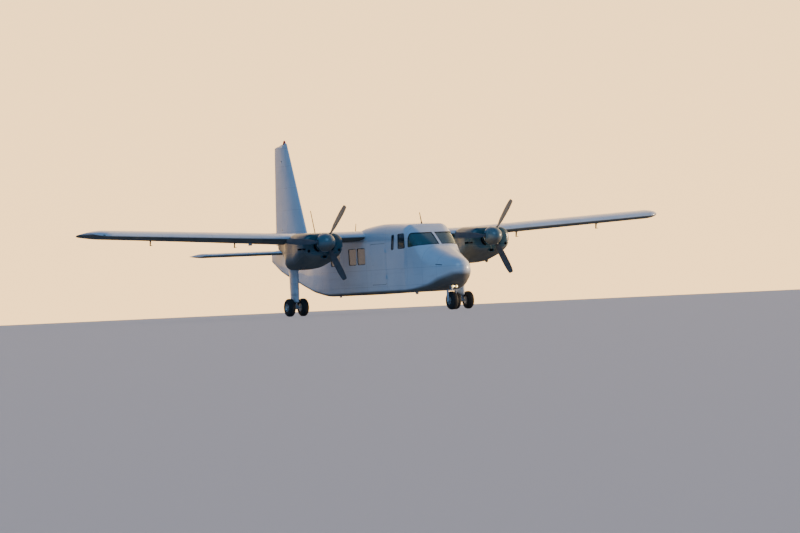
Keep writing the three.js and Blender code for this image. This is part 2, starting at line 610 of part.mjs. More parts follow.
const LEG_RIBS = [
  { z: 340, half: 66, chord: 400 },
  { z: 900, half: 76, chord: 450 },
  { z: 1500, half: 80, chord: 480 },
];
{
  const cowlInside = nacellePart(COWL_FRONT + COWL_WALL, FIREWALL + 50, COWL_WALL);
  const cowlShell = cut(nacellePart(COWL_FRONT, FIREWALL), cowlInside);
  const onShaft = (station) => [ENGINE_X, at(station), HUB_Z];
  const shaftHole = bar(onShaft(COWL_FRONT - 50), onShaft(COWL_FRONT + 100), 60);
  const intake = (side) => {
    const [inner, outer] = INTAKE.across.map((x) => ENGINE_X + side * x);
    const across = [Math.min(inner, outer), Math.max(inner, outer)];
    return box(across, [COWL_FRONT - 50, COWL_FRONT + 40], INTAKE.heights);
  };
  const chin = box([ENGINE_X - CHIN.half, ENGINE_X + CHIN.half], CHIN.stations, CHIN.heights);
  const block = box(
    [ENGINE_X - ENGINE.half, ENGINE_X + ENGINE.half],
    [ENGINE.front, FIREWALL],
    ENGINE.heights,
  );
  const shaft = bar(onShaft(2905), onShaft(ENGINE.front + 40), 40);
  addPair("cowl", cut(cowlShell, shaftHole, intake(-1), intake(1), chin), nacelleBlue);
  addPair("engine", join(block, shaft), darkMetal);

  const body = nacellePart(FIREWALL + GAP, NACELLE_END);
  addPair("nacelle", cut(body, wingRoom), nacelleBlue);

  const LEG_SIDES = 12;
  const legRing = ({ z, half, chord }) =>
    Array.from({ length: LEG_SIDES }, (_, i) => {
      const angle = (2 * Math.PI * i) / LEG_SIDES;
      const along = -Math.cos(angle) * (chord / 2) * (Math.cos(angle) > 0 ? 0.7 : 1.3);
      return [ENGINE_X + half * Math.sin(angle), at(MAIN_AXLE + 20) + along, z];
    });
  const leg = loft(LEG_RIBS.map(legRing));
  addPair("main_leg", cut(leg, nacellePart(FIREWALL + GAP, NACELLE_END, -GAP)), white);
}

// Propellers: hub, flange and three twisted blades, with a hollow spinner over the hub
const PROP_STATION = 2850;
const SPINNER_RADIUS = 222;
const SPINNER_LENGTH = 330;
const BLADE_ROOT = 42;
const BLADES = 3;
const BLADE_REST = rad(33); // of the first blade, from upright towards port
for (const [side, centreX] of [["port", ENGINE_X], ["starboard", -ENGINE_X]]) {
  const along = (offset) => [centreX, at(PROP_STATION + offset), HUB_Z];
  // Blade stations: radius, chord, thickness and pitch in degrees
  const BLADE = [
    { radius: 235, chord: 105, thick: 38, pitch: 48 },
    { radius: 450, chord: 150, thick: 24, pitch: 32 },
    { radius: 750, chord: 150, thick: 14, pitch: 22 },
    { radius: PROP_RADIUS - 40, chord: 115, thick: 8, pitch: 17 },
    { radius: PROP_RADIUS, chord: 60, thick: 6, pitch: 16 },
  ];
  const bladeRing = ({ radius, chord, thick, pitch }) => {
    const turn = rad(pitch);
    const outline = [[-0.5, 0], [-0.2, 0.5], [0.2, 0.42], [0.5, 0], [0.2, -0.3], [-0.2, -0.36]];
    return outline.map(([share, rise]) => {
      const c = share * chord;
      const t = rise * thick;
      return [c * Math.cos(turn) - t * Math.sin(turn), c * Math.sin(turn) + t * Math.cos(turn), radius];
    });
  };
  const rootBar = bar([0, 0, 60], [0, 0, 260], BLADE_ROOT, BLADE_ROOT, 12);
  const blade = join(loft(BLADE.map(bladeRing)), rootBar);
  const turned = (solid, angle) => {
    const { vertProperties, triVerts } = solid.getMesh();
    const matrix = new THREE.Matrix4().makeRotationY(angle).setPosition(...along(0));
    const moved = new THREE.BufferAttribute(vertProperties.slice(), 3).applyMatrix4(matrix);
    return solidFrom(moved.array, triVerts);
  };
  const angles = Array.from({ length: BLADES }, (_, i) => BLADE_REST + (2 * Math.PI * i) / BLADES);
  const flangeRadius = SPINNER_RADIUS - 2;
  const flange = bar(along(44), along(54.7), flangeRadius, flangeRadius, 16);
  const hub = join(bar(along(-70), along(54.7), 95), flange);
  add(`propeller_${side}`, join(hub, ...angles.map((angle) => turned(blade, angle))), darkMetal);

  // The spinner is half an egg with an open back and holes for the blades.
  const SPINNER_STEPS = 5;
  const spinnerShape = (radius, length) => {
    const points = [new THREE.Vector2(0, 0)];
    for (let i = 0; i <= SPINNER_STEPS; i += 1) {
      const angle = (Math.PI / 2) * (i / SPINNER_STEPS);
      points.push(new THREE.Vector2(radius * Math.cos(angle), length * Math.sin(angle)));
    }
    points[points.length - 1].x = 0;
    return points;
  };
  const BACK = 44 - GAP;
  const towardsNose = new THREE.Matrix4().makeRotationZ(Math.PI).setPosition(...along(BACK));
  const dome = (radius, length) =>
    solidOf(new THREE.LatheGeometry(spinnerShape(radius, length), 16), towardsNose);
  const wallThickness = 9;
  const innerRadius = SPINNER_RADIUS - wallThickness;
  const inside = join(
    dome(innerRadius, SPINNER_LENGTH - wallThickness),
    bar(along(BACK - 20), along(BACK + 20), innerRadius, innerRadius, 16),
  );
  const hole = bar([0, 0, 100], [0, 0, 300], BLADE_ROOT + 16);
  const holes = angles.map((angle) => turned(hole, angle));
  add(`spinner_${side}`, cut(dome(SPINNER_RADIUS, SPINNER_LENGTH), inside, ...holes), nacelleBlue);
}

// Wheels: a tyre is turned about its axle, and the rim fills it.
function tyre(x, station) {
  const half = TYRE_WIDTH / 2;
  const profile = [
    [RIM_RADIUS + GAP, -half + 18],
    [TYRE_RADIUS - 75, -half],
    [TYRE_RADIUS - 30, -half + 10],
    [TYRE_RADIUS - 4, -half + 45],
    [TYRE_RADIUS, -half + 62],
    [TYRE_RADIUS, half - 62],
    [TYRE_RADIUS - 4, half - 45],
    [TYRE_RADIUS - 30, half - 10],
    [TYRE_RADIUS - 75, half],
    [RIM_RADIUS + GAP, half - 18],
  ].map(([radius, y]) => new THREE.Vector2(radius, y));
  const geometry = new THREE.LatheGeometry([...profile, profile[0]], WHEEL_SIDES);
  geometry.rotateZ(-Math.PI / 2);
  geometry.translate(x, at(station), TYRE_RADIUS);
  return solidOf(geometry);
}
function rim(x, station) {
  const half = TYRE_WIDTH / 2 - 8;
  const end = (endX) => [endX, at(station), TYRE_RADIUS];
  return bar(end(x - half), end(x + half), RIM_RADIUS, RIM_RADIUS, WHEEL_SIDES);
}

// Main gear: the leg's fairing carries a chrome piston, whose eye holds the axle between twin wheels.
const AXLE_RADIUS = 18;
const EYE_RADIUS = 44;
const PISTON_RADIUS = 34;
{
  const axlePoint = (x, z = TYRE_RADIUS) => [x, at(MAIN_AXLE), z];
  const eyeHalf = 40;
  const piston = bar(axlePoint(ENGINE_X), axlePoint(ENGINE_X, LEG_RIBS[0].z - GAP), PISTON_RADIUS);
  const eye = bar(axlePoint(ENGINE_X - eyeHalf), axlePoint(ENGINE_X + eyeHalf), EYE_RADIUS);
  const link = loft(
    [-16, 16].map((x) => [
      [ENGINE_X + x, at(MAIN_AXLE + 20), TYRE_RADIUS + 5],
      [ENGINE_X + x, at(MAIN_AXLE + 160), TYRE_RADIUS + 45],
      [ENGINE_X + x, at(MAIN_AXLE + 160), TYRE_RADIUS + 65],
      [ENGINE_X + x, at(MAIN_AXLE + 20), LEG_RIBS[0].z - GAP],
    ]),
  );
  const bore = bar(axlePoint(ENGINE_X - 60), axlePoint(ENGINE_X + 60), boreFor(AXLE_RADIUS));
  addPair("main_piston", cut(join(piston, eye, link), bore), chrome);
  const wheelXs = [ENGINE_X - TWIN_SPACING / 2, ENGINE_X + TWIN_SPACING / 2];
  const axle = bar(axlePoint(wheelXs[0]), axlePoint(wheelXs[1]), AXLE_RADIUS);
  addPair("main_wheels", join(axle, ...wheelXs.map((x) => rim(x, MAIN_AXLE))), alloy);
  addPair("main_tyre_inner", tyre(wheelXs[0], MAIN_AXLE), rubber);
  addPair("main_tyre_outer", tyre(wheelXs[1], MAIN_AXLE), rubber);
}

// Nose gear: a fixed upper leg with two lamps, and a fork that steers about the leg's axis
const FORK_TOP = 560;
const LAMP_Z = 540;
const STEM_RADIUS = 26;
{
  const nosePoint = (z, x = 0, offset = 0) => [x, at(NOSE_AXLE + offset), z];
  const upper = bar(nosePoint(FORK_TOP - 60), nosePoint(LEG_WELL.top - GAP), 40);
  const collar = bar(nosePoint(FORK_TOP + 1), nosePoint(FORK_TOP + 41), LEG_WELL.radius - GAP);
  const socket = bar(nosePoint(FORK_TOP - 80), nosePoint(FORK_TOP), boreFor(STEM_RADIUS));
  const lamp = (x) => bar(nosePoint(LAMP_Z, x, -190), nosePoint(LAMP_Z, x, -130), 38, 28);
  const lampArm = box([-60, 60], [NOSE_AXLE - 145, NOSE_AXLE - 20], [LAMP_Z - 12, LAMP_Z + 8]);
  add("nose_leg", cut(join(upper, collar, lampArm, lamp(-58), lamp(58)), socket), alloy);

  const armX = TYRE_WIDTH / 2 + 16;
  const crownZ = 2 * TYRE_RADIUS + 25;
  const stem = bar(nosePoint(crownZ), nosePoint(FORK_TOP - GAP), STEM_RADIUS);
  const crown = box([-armX - 8, armX + 8], [NOSE_AXLE - 45, NOSE_AXLE + 45], [crownZ - 14, crownZ + 14]);
  const arm = (x) => {
    const reach = 32;
    return box([x - 8, x + 8], [NOSE_AXLE - reach, NOSE_AXLE + reach], [TYRE_RADIUS - reach, crownZ]);
  };
  const axle = bar(nosePoint(TYRE_RADIUS, -armX), nosePoint(TYRE_RADIUS, armX), AXLE_RADIUS);
  add("nose_fork", join(stem, crown, arm(-armX), arm(armX), axle), white);
  const bore = bar(nosePoint(TYRE_RADIUS, -100), nosePoint(TYRE_RADIUS, 100), boreFor(AXLE_RADIUS));
  add("nose_wheel", cut(rim(0, NOSE_AXLE), bore), alloy);
  add("nose_tyre", tyre(0, NOSE_AXLE), rubber);
}

// Cabin: floor, rear bulkhead, instrument panel with its control columns, seats and benches
const INNER_HALF = 500;
const SEAT_HEIGHT = 420;
const WHOLE_WIDTH = [-700, 700];
{
  const cabinRoom = fuselagePart(NOSE_END - 40, CABIN_END + 40, WALL + GAP);
  const insideAt = (stations, heights) => common(cabinRoom, box(WHOLE_WIDTH, stations, heights));
  add("cabin_floor", insideAt([NOSE_END + 1, CABIN_END - 1], [FLOOR_Z - 30, FLOOR_Z]), carpet);
  add("rear_bulkhead", cut(insideAt([7050, 7070], [FLOOR_Z + GAP, 2000]), wingRoom), black);
  const column = (x) =>
    join(
      bar([x, at(1640), 1240], [x, at(1850), 1240], 14, 14, 10),
      bar([x - 130, at(1850), 1240], [x + 130, at(1850), 1240], 14, 14, 10),
    );
  const panel = insideAt([1620, 1660], [FLOOR_Z + GAP, 1500]);
  const footwell = (x) => box([x - 170, x + 170], [1600, 1700], [FLOOR_Z - 10, 1080]);
  const board = cut(panel, footwell(-260), footwell(260));
  add("instrument_panel", join(board, column(-260), column(260)), black);

  const seatTop = FLOOR_Z + SEAT_HEIGHT;
  const legHeights = [FLOOR_Z + GAP, seatTop - 100];
  const bench = (halfWidth, x, front) =>
    join(
      box([x - halfWidth, x + halfWidth], [front, front + 440], [seatTop - 110, seatTop]),
      box([x - halfWidth, x + halfWidth], [front + 400, front + 500], [seatTop - 110, seatTop + 470]),
      box([x - halfWidth + 40, x + halfWidth - 40], [front + 60, front + 400], legHeights),
    );
  addPair("front_seat", bench(215, 265, 2330), cloth);
  const BENCH_FRONTS = [3150, 3950, 4750, 5550];
  const railStations = [BENCH_FRONTS[0], BENCH_FRONTS.at(-1) + 500];
  const rail = (x) => box([x - 20, x + 20], railStations, [FLOOR_Z + GAP, FLOOR_Z + 25]);
  const benches = BENCH_FRONTS.map((front) => bench(INNER_HALF, 0, front));
  add("cabin_benches", join(...benches, rail(-330), rail(330)), cloth);
}

export default aeroplane;
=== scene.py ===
import math

import bmesh
import bpy
import numpy as np
from mathutils import Matrix, Vector


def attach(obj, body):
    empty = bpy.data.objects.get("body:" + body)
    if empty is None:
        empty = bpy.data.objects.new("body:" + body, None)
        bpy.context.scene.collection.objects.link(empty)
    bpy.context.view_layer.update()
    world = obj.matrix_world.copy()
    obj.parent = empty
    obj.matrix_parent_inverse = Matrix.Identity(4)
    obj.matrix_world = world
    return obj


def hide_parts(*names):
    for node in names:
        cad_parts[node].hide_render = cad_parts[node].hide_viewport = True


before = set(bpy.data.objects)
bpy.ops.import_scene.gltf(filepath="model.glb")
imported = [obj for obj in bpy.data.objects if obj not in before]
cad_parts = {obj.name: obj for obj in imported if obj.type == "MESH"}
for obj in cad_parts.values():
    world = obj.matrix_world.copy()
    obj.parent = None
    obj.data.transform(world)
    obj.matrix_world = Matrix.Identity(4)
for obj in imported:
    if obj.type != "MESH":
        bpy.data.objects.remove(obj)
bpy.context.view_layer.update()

# Camera. It stands far off the nose on the starboard side, low down at the level of the floor,
# with the long lens and the slight lean of the photograph.
CAMERA_AZIMUTH = math.radians(-25.0)
CAMERA_DISTANCE = 130.0
CAMERA_HEIGHT = 0.12
CAMERA_LEAN = math.radians(-2.6)
PHOTO_SIZE = (800, 533)
PIXELS_PER_METRE = 41.3
AIM_POINT = Vector((0.0, 0.0, 1.75))
AIM_PIXEL = (364.0, 241.0)
SENSOR = 36.0

towards_camera = Vector((math.sin(CAMERA_AZIMUTH), -math.cos(CAMERA_AZIMUTH), 0.0))
camera_place = AIM_POINT + towards_camera * CAMERA_DISTANCE
camera_place.z = CAMERA_HEIGHT
camera = bpy.data.objects.new("camera", bpy.data.cameras.new("camera"))
bpy.context.scene.collection.objects.link(camera)
bpy.context.scene.camera = camera
camera.location = camera_place
camera.rotation_mode = "QUATERNION"
sight = (AIM_POINT - camera_place).to_track_quat("-Z", "Y")
camera.rotation_quaternion = sight @ Matrix.Rotation(CAMERA_LEAN, 3, "Z").to_quaternion()
camera.data.sensor_width = SENSOR
camera.data.lens = SENSOR * CAMERA_DISTANCE * PIXELS_PER_METRE / PHOTO_SIZE[0]
camera.data.shift_x = (PHOTO_SIZE[0] / 2 - AIM_PIXEL[0]) / PHOTO_SIZE[0]
camera.data.shift_y = (AIM_PIXEL[1] - PHOTO_SIZE[1] / 2) / PHOTO_SIZE[0]
camera.data.clip_end = 1000.0

# Studio. A wide pale floor under a soft dome: warm and bright on the far port side, where the light comes
# from in the photograph, blue and dim on the side of the camera. A warm low lamp stands on the port side
# and a weak blue one on the side of the camera.
FLOOR_REACH = 900.0
FLOOR_COLOUR = (0.43, 0.48, 0.54, 1.0)
LIGHTS = [
    # name, direction the light comes from, strength, softness in degrees, colour
    ("key", (0.97, -0.16, 0.10), 4.4, 10.0, (1.0, 0.72, 0.44)),
    ("fill", (-0.45, -0.60, 0.66), 0.84, 40.0, (0.29, 0.62, 1.0)),
]
BRIGHT_SIDE = (0.80, 0.60, 0.0)
DOME_SIDES = [
    # heights as the sine of the angle above the horizon, and their colours, on the dim and the bright side
    [(0.00, (0.07, 0.15, 0.28, 1.0)), (0.40, (0.05, 0.15, 0.34, 1.0)), (1.00, (0.05, 0.16, 0.38, 1.0))],
    [(0.00, (3.10, 1.90, 0.80, 1.0)), (0.15, (2.65, 1.76, 0.86, 1.0)), (1.00, (0.10, 0.22, 0.46, 1.0))],
]

floor_mesh = bpy.data.meshes.new("floor")
floor_corners = [(x * FLOOR_REACH, y * FLOOR_REACH, 0) for x, y in ((-1, -1), (1, -1), (1, 1), (-1, 1))]
floor_mesh.from_pydata(floor_corners, [], [(0, 1, 2, 3)])
floor = bpy.data.objects.new("floor", floor_mesh)
bpy.context.scene.collection.objects.link(floor)
floor_material = bpy.data.materials.new("floor")
floor_material.use_nodes = True
floor_shader = floor_material.node_tree.nodes["Principled BSDF"]
floor_shader.inputs["Base Color"].default_value = FLOOR_COLOUR
floor_shader.inputs["Roughness"].default_value = 0.9
floor_mesh.materials.append(floor_material)

for name, direction, strength, softness, colour in LIGHTS:
    lamp = bpy.data.lights.new(name, "SUN")
    lamp.energy = strength
    lamp.angle = math.radians(softness)
    lamp.color = colour
    holder = bpy.data.objects.new(name, lamp)
    bpy.context.scene.collection.objects.link(holder)
    holder.rotation_mode = "QUATERNION"
    holder.rotation_quaternion = Vector(direction).to_track_quat("Z", "Y")

world = bpy.data.worlds.new("dome")
bpy.context.scene.world = world
world.use_nodes = True
dome = world.node_tree
heading = dome.nodes.new("ShaderNodeTexCoord").outputs["Generated"]
upward = dome.nodes.new("ShaderNodeSeparateXYZ")
dome.links.new(heading, upward.inputs[0])
towards = dome.nodes.new("ShaderNodeVectorMath")
towards.operation = "DOT_PRODUCT"
towards.inputs[1].default_value = BRIGHT_SIDE
dome.links.new(heading, towards.inputs[0])
side_share = dome.nodes.new("ShaderNodeMapRange")
side_share.interpolation_type = "SMOOTHSTEP"
side_share.inputs["From Min"].default_value = 0.05
side_share.inputs["From Max"].default_value = 0.85
dome.links.new(towards.outputs["Value"], side_share.inputs["Value"])
blend = dome.nodes.new("ShaderNodeMix")
blend.data_type = "RGBA"
dome.links.new(side_share.outputs[0], blend.inputs[0])
for stops, place in zip(DOME_SIDES, (6, 7)):
    shades = dome.nodes.new("ShaderNodeValToRGB")
    ramp = shades.color_ramp
    ramp.elements[0].color = stops[0][1]
    ramp.elements[1].color = stops[-1][1]
    ramp.elements.new(stops[1][0]).color = stops[1][1]
    dome.links.new(upward.outputs[2], shades.inputs[0])
    dome.links.new(shades.outputs[0], blend.inputs[place])
dome.links.new(blend.outputs[2], dome.nodes["Background"].inputs["Color"])


# White paint of the airframe. Gloss enamel over thin aluminium sheet: the sheets bulge a little between
# their frames, the joints show as fine dark lines, and grime gathers low down and runs back in streaks.
class Wire:
    """A number that runs from one shader node to the next, so that sums can be written as sums."""

    def __init__(self, finish, socket):
        self.finish = finish
        self.socket = socket

    def math(self, operation, *others):
        values = dict(enumerate((self,) + others))
        return self.finish.wire("ShaderNodeMath", values, operation=operation)

    def __add__(self, other):
        return self.math("ADD", other)

    def __sub__(self, other):
        return self.math("SUBTRACT", other)

    def __rsub__(self, other):
        return self.math("MULTIPLY_ADD", -1.0, other)

    def __mul__(self, other):
        return self.math("MULTIPLY", other)

    def __lt__(self, other):
        return self.math("LESS_THAN", other)

    def __abs__(self):
        return self.math("ABSOLUTE")


class Finish:
    """A material whose nodes are added one at a time."""

    def __init__(self, name, roughness=0.5, metallic=0.0, coat=0.0):
        self.material = bpy.data.materials.new(name)
        self.material.use_nodes = True
        self.tree = self.material.node_tree
        self.shader = self.tree.nodes["Principled BSDF"]
        self.shader.inputs["Roughness"].default_value = roughness
        self.shader.inputs["Metallic"].default_value = metallic
        self.shader.inputs["Coat Weight"].default_value = coat
        self.place = self.node("ShaderNodeTexCoord").outputs["Object"]

    def node(self, kind, values=None, **settings):
        made = self.tree.nodes.new(kind)
        for key, value in settings.items():
            setattr(made, key, value)
        for key, value in (values or {}).items():
            self.feed(made.inputs[key], value)
        return made

    def feed(self, socket, value):
        if isinstance(value, Wire):
            value = value.socket
        if isinstance(value, bpy.types.NodeSocket):
            self.tree.links.new(value, socket)
        else:
            socket.default_value = value

    def wire(self, kind, values=None, **settings):
        return Wire(self, self.node(kind, values, **settings).outputs[0])

    def axes(self):
        split = self.node("ShaderNodeSeparateXYZ", {"Vector": self.place})
        return [Wire(self, socket) for socket in split.outputs]

    def noise(self, scale, detail=3.0, stretch=(1.0, 1.0, 1.0)):
        place = self.node("ShaderNodeMapping", {"Vector": self.place, "Scale": stretch}).outputs[0]
        values = {"Vector": place, "Scale": scale, "Detail": detail}
        return self.wire("ShaderNodeTexNoise", values)

    def rise(self, value, low, high):
        """0 where value is low or less, 1 where it is high or more"""
        values = {"Value": value, "From Min": low, "From Max": high}
        return self.wire("ShaderNodeMapRange", values)

    def lines(self, value, places, width):
        """1 along thin lines at the given places, 0 elsewhere"""
        nearest = abs(value - places[0])
        for place in places[1:]:
            nearest = nearest.math("MINIMUM", abs(value - place))
        return nearest < width / 2

    def blend(self, factor, first, second):
        """The first colour where factor is 0, the second where it is 1"""
        made = self.node("ShaderNodeMix", data_type="RGBA")
        for place, value in ((0, factor), (6, first), (7, second)):
            self.feed(made.inputs[place], value)
        return made.outputs[2]

    def paint(self, socket, value):
        self.feed(self.shader.inputs[socket], value)

    def bump(self, height, distance):
        values = {"Height": height, "Distance": distance}
        self.paint("Normal", self.node("ShaderNodeBump", values).outputs["Normal"])


PAINT_WHITE = (0.64, 0.70, 0.77, 1.0)
PAINT_WORN = (0.54, 0.60, 0.67, 1.0)
GRIME = (0.28, 0.26, 0.24, 1.0)
SEAM_COLOUR = (0.20, 0.22, 0.25, 1.0)
SEAM_WIDTH = 0.007
# Dark colours for faces that look down: painted shade under the belly and under the wings and tail.
BELLY_SHADE_COLOUR = (0.150, 0.145, 0.130, 1.0)
WING_SHADE_COLOUR = (0.115, 0.120, 0.112, 1.0)


def enamel(name, across=(), along=(), upright=(), clean=PAINT_WHITE, worn=PAINT_WORN, dirt=0.5, coat=0.5,
           shade_colour=WING_SHADE_COLOUR):
    """Enamel on sheet metal with joints at places across, along and upright, in metres. Faces that look
    down are darkened towards a dark colour as painted shade, by the attribute that mark_undersides gives a
    piece."""
    finish = Finish(name, coat=coat)
    x, y, z = finish.axes()
    seams = None
    for value, places in ((x, across), (y, along), (z, upright)):
        if places:
            found = finish.lines(value, places, SEAM_WIDTH)
            seams = found if seams is None else seams.math("MAXIMUM", found)
    patches = finish.rise(finish.noise(1.3, detail=4.0), 0.38, 0.66)
    streaks = finish.rise(finish.noise(3.0, detail=5.0, stretch=(2.5, 0.22, 5.0)), 0.50, 0.78)
    low_down = 1.0 - finish.rise(z, 0.45, 1.05)
    soil = streaks * (low_down * 0.5 + 0.16) * dirt
    beneath = finish.node("ShaderNodeAttribute", attribute_name="facing_down").outputs["Fac"]
    # Faces that look down are blended towards a dark colour: painted shade.
    painted_shade = finish.rise(Wire(finish, beneath), 0.12, 0.52) * 0.96
    colour = finish.blend(patches * 0.7, clean, worn)
    colour = finish.blend(painted_shade, colour, shade_colour)
    colour = finish.blend(soil, colour, GRIME)
    waves = finish.noise(2.2, detail=1.0, stretch=(1.0, 1.0, 1.6)) * 0.9
    if seams is not None:
        colour = finish.blend(seams * 0.45, colour, SEAM_COLOUR)
        waves = waves - seams * 0.22
    finish.paint("Base Color", colour)
    finish.paint("Roughness", soil * 0.5 + painted_shade * 0.35 + finish.noise(30.0) * 0.10 + 0.24)
    finish.paint("Coat Weight", coat - painted_shade * coat)
    finish.bump(waves, 0.012)
    return finish.material


SHADE_FROM = 0.60  # how far a face looks down, from 0 to 1, where the painted shade hides the paint


def grime_film(name, colour):
    """A dull dark finish under the aeroplane: painted shade, with dusty patches"""
    finish = Finish(name, roughness=0.85)
    finish.shader.inputs["Specular IOR Level"].default_value = 0.12
    dust = finish.rise(finish.noise(2.4, detail=5.0, stretch=(1.6, 0.5, 1.6)), 0.35, 0.70)
    dusty = (colour[0] * 1.45, colour[1] * 1.35, colour[2] * 1.25, 1.0)
    finish.paint("Base Color", finish.blend(dust, colour, dusty))
    finish.bump(finish.noise(40.0), 0.0008)
    return finish.material


# Dark finishes of painted shade for the undersides of the belly and of the wings.
wing_film = grime_film("wing_film", WING_SHADE_COLOUR)
belly_film = grime_film("belly_film", BELLY_SHADE_COLOUR)


def mottled(name, first, second, patches, grain, depth, roughness, metallic=0.0, coat=0.0):
    """A surface that wanders between two colours, with a fine grain; patches and grain are noise scales"""
    finish = Finish(name, roughness, metallic, coat)
    finish.paint("Base Color", finish.blend(finish.noise(patches), (*first, 1.0), (*second, 1.0)))
    finish.bump(finish.noise(grain), depth)
    return finish.material


# Fuselage. A riveted tube of thin aluminium sheet with flat sides, round corners and a blunt round nose.
# One skin is bent round the frames, then opened for the glass, the doors and the nose leg.
ORIGIN_STATION = 5430.0
NOSE_END = 1140
LENGTH = 10860
WALL = 40
FRAMES = [
    # station, half width, bottom, top, radius of the low corners, radius of the high corners
    (0, 2, 963, 967, 2, 2),
    (50, 150, 800, 1100, 140, 140),
    (220, 285, 698, 1205, 225, 260),
    (550, 415, 605, 1318, 220, 370),
    (950, 506, 513, 1455, 160, 420),
    (1140, 534, 490, 1525, 145, 420),
    (1620, 582, 460, 1875, 108, 290),
    (1940, 605, 453, 2055, 92, 245),
    (3300, 605, 450, 2100, 90, 230),
    (4200, 605, 445, 2045, 90, 200),
    (4750, 605, 440, 1960, 90, 170),
    (6150, 605, 435, 1930, 90, 170),
    (7200, 545, 530, 1900, 100, 190),
    (8000, 440, 660, 1850, 110, 200),
    (9000, 300, 850, 1780, 130, 150),
    (10050, 150, 1075, 1700, 90, 80),
    (LENGTH, 40, 1370, 1640, 30, 30),
]
CREASES = (1140, 1940)  # stations where the lines of the nose, windscreen and roof meet at an angle


def eased(places, values, wanted):
    """Values between those of a table, on a smooth line that never goes past them"""
    steps = np.diff(places)
    slopes = np.diff(values) / steps
    product = slopes[:-1] * slopes[1:]
    total = slopes[:-1] + slopes[1:]
    inner = np.where(product > 0, 2 * product / np.where(total == 0, 1, total), 0)
    tangents = np.concatenate([slopes[:1], inner, slopes[-1:]])
    i = np.clip(np.searchsorted(places, wanted, side="right") - 1, 0, len(steps) - 1)
    t = (wanted - places[i]) / steps[i]
    rest = 1 - t
    ends = values[i] * rest**2 * (1 + 2 * t) + values[i + 1] * t**2 * (3 - 2 * t)
    return ends + steps[i] * t * rest * (tangents[i] * rest - tangents[i + 1] * t)


def eased_rows(table, places):
    """Rows of a table at many places, each with its place first"""
    first, *columns = np.array(table, float).T
    return [(place, *[eased(first, column, np.array(float(place))) for column in columns])
            for place in places]


def rows_at(table, stations, creases=(), root_from=0.0):
    """Rows of a table of frames at many stations. Near the front the sizes grow as a round nose does."""
    table = np.array(table, float)
    bounds = [table[0, 0], *creases, table[-1, 0]]
    rows = []
    for start, end in zip(bounds, bounds[1:]):
        part = table[(table[:, 0] >= start) & (table[:, 0] <= end)]
        inside = [s for s in stations if start <= s <= end]
        places = np.sqrt(part[:, 0] - root_from)
        wanted = np.sqrt(np.array(inside) - root_from)
        columns = [eased(places, part[:, i], wanted) for i in range(1, part.shape[1])]
        rows += list(zip(inside, *columns))
    return rows


CORNER_STEPS = 12


def frame_ring(row, centre=0.0, inset=0.0):
    """Points of one frame: a box with round corners that stands across the aeroplane"""
    station, half, bottom, top, low, high = row
    low = min(max(low - inset, 4), half - inset)
    high = min(max(high - inset, 4), half - inset)
    turn = np.radians(np.linspace(0, 90, CORNER_STEPS + 1))
    ring = []
    for x, z, radius, start in (
        (half - inset - low, bottom + inset + low, low, -90),
        (half - inset - high, top - inset - high, high, 0),
        (high + inset - half, top - inset - high, high, 90),
        (low + inset - half, bottom + inset + low, low, 180),
    ):
        for angle in turn + math.radians(start):
            ring.append((centre + x + radius * math.cos(angle), station, z + radius * math.sin(angle)))
    return ring


def metres(points):
    """Points given in millimetres as across, station and height, in metres from the origin"""
    return (np.asarray(points, float) - (0.0, ORIGIN_STATION, 0.0)) / 1000.0


def metres_aft(station):
    """Metres aft of the origin"""
    return station / 1000 - ORIGIN_STATION / 1000


def laid(name, mesh):
    piece = bpy.data.objects.new(name, mesh)
    bpy.context.scene.collection.objects.link(piece)
    return piece


def closed(mesh):
    """Merges the points of seams and poles and turns the faces outwards"""
    form = bmesh.new()
    form.from_mesh(mesh)
    bmesh.ops.remove_doubles(form, verts=form.verts, dist=2e-5)
    bmesh.ops.recalc_face_normals(form, faces=form.faces)
    form.to_mesh(mesh)
    form.free()
    return mesh


def skin(name, rings):
    """A closed skin through rings of points in metres, with a flat cap at each end"""
    rings = np.asarray(rings, float)
    count, around = rings.shape[:2]
    order = np.arange(count * around).reshape(count, around)
    after = np.roll(order, -1, axis=1)
    quads = np.stack([order[:-1], after[:-1], after[1:], order[1:]], axis=-1).reshape(-1, 4)
    caps = [order[0].tolist(), order[-1].tolist()]
    mesh = bpy.data.meshes.new(name)
    mesh.from_pydata(rings.reshape(-1, 3).tolist(), [], quads.tolist() + caps)
    return laid(name, closed(mesh))


def twin(piece):
    return laid(piece.name + "_twin", piece.data.copy())


def mirrored(piece):
    """The same shape on the other side of the aeroplane"""
    mesh = piece.data.copy()
    mesh.transform(Matrix.Scale(-1, 4, (1, 0, 0)))
    mesh.flip_normals()
    return laid("mirrored", mesh)


def freeze(piece):
    """Turns what the modifiers show into the mesh itself"""
    shown = piece.evaluated_get(bpy.context.evaluated_depsgraph_get())
    mesh = bpy.data.meshes.new_from_object(shown)
    piece.modifiers.clear()
    piece.data = mesh


def worked(piece, operation, tools):
    """Cuts tools out of a piece, adds them to it, or keeps what it shares with them; uses the tools up"""
    for tool in tools:
        step = piece.modifiers.new(operation, "BOOLEAN")
        step.operation = operation
        step.solver = "MANIFOLD"
        step.object = tool
    freeze(piece)
    for tool in tools:
        bpy.data.objects.remove(tool)
    return piece


def cut(piece, *tools):
    return worked(piece, "DIFFERENCE", tools)


def add(piece, *tools):
    return worked(piece, "UNION", tools)


def common(piece, *tools):
    return worked(piece, "INTERSECT", tools)


def block(name, lows, highs):
    """A tool with flat sides, by its limits in millimetres"""
    (x0, s0, z0), (x1, s1, z1) = lows, highs
    ends = [[(x0, s, z0), (x1, s, z0), (x1, s, z1), (x0, s, z1)] for s in (s0, s1)]
    return skin(name, metres(ends))


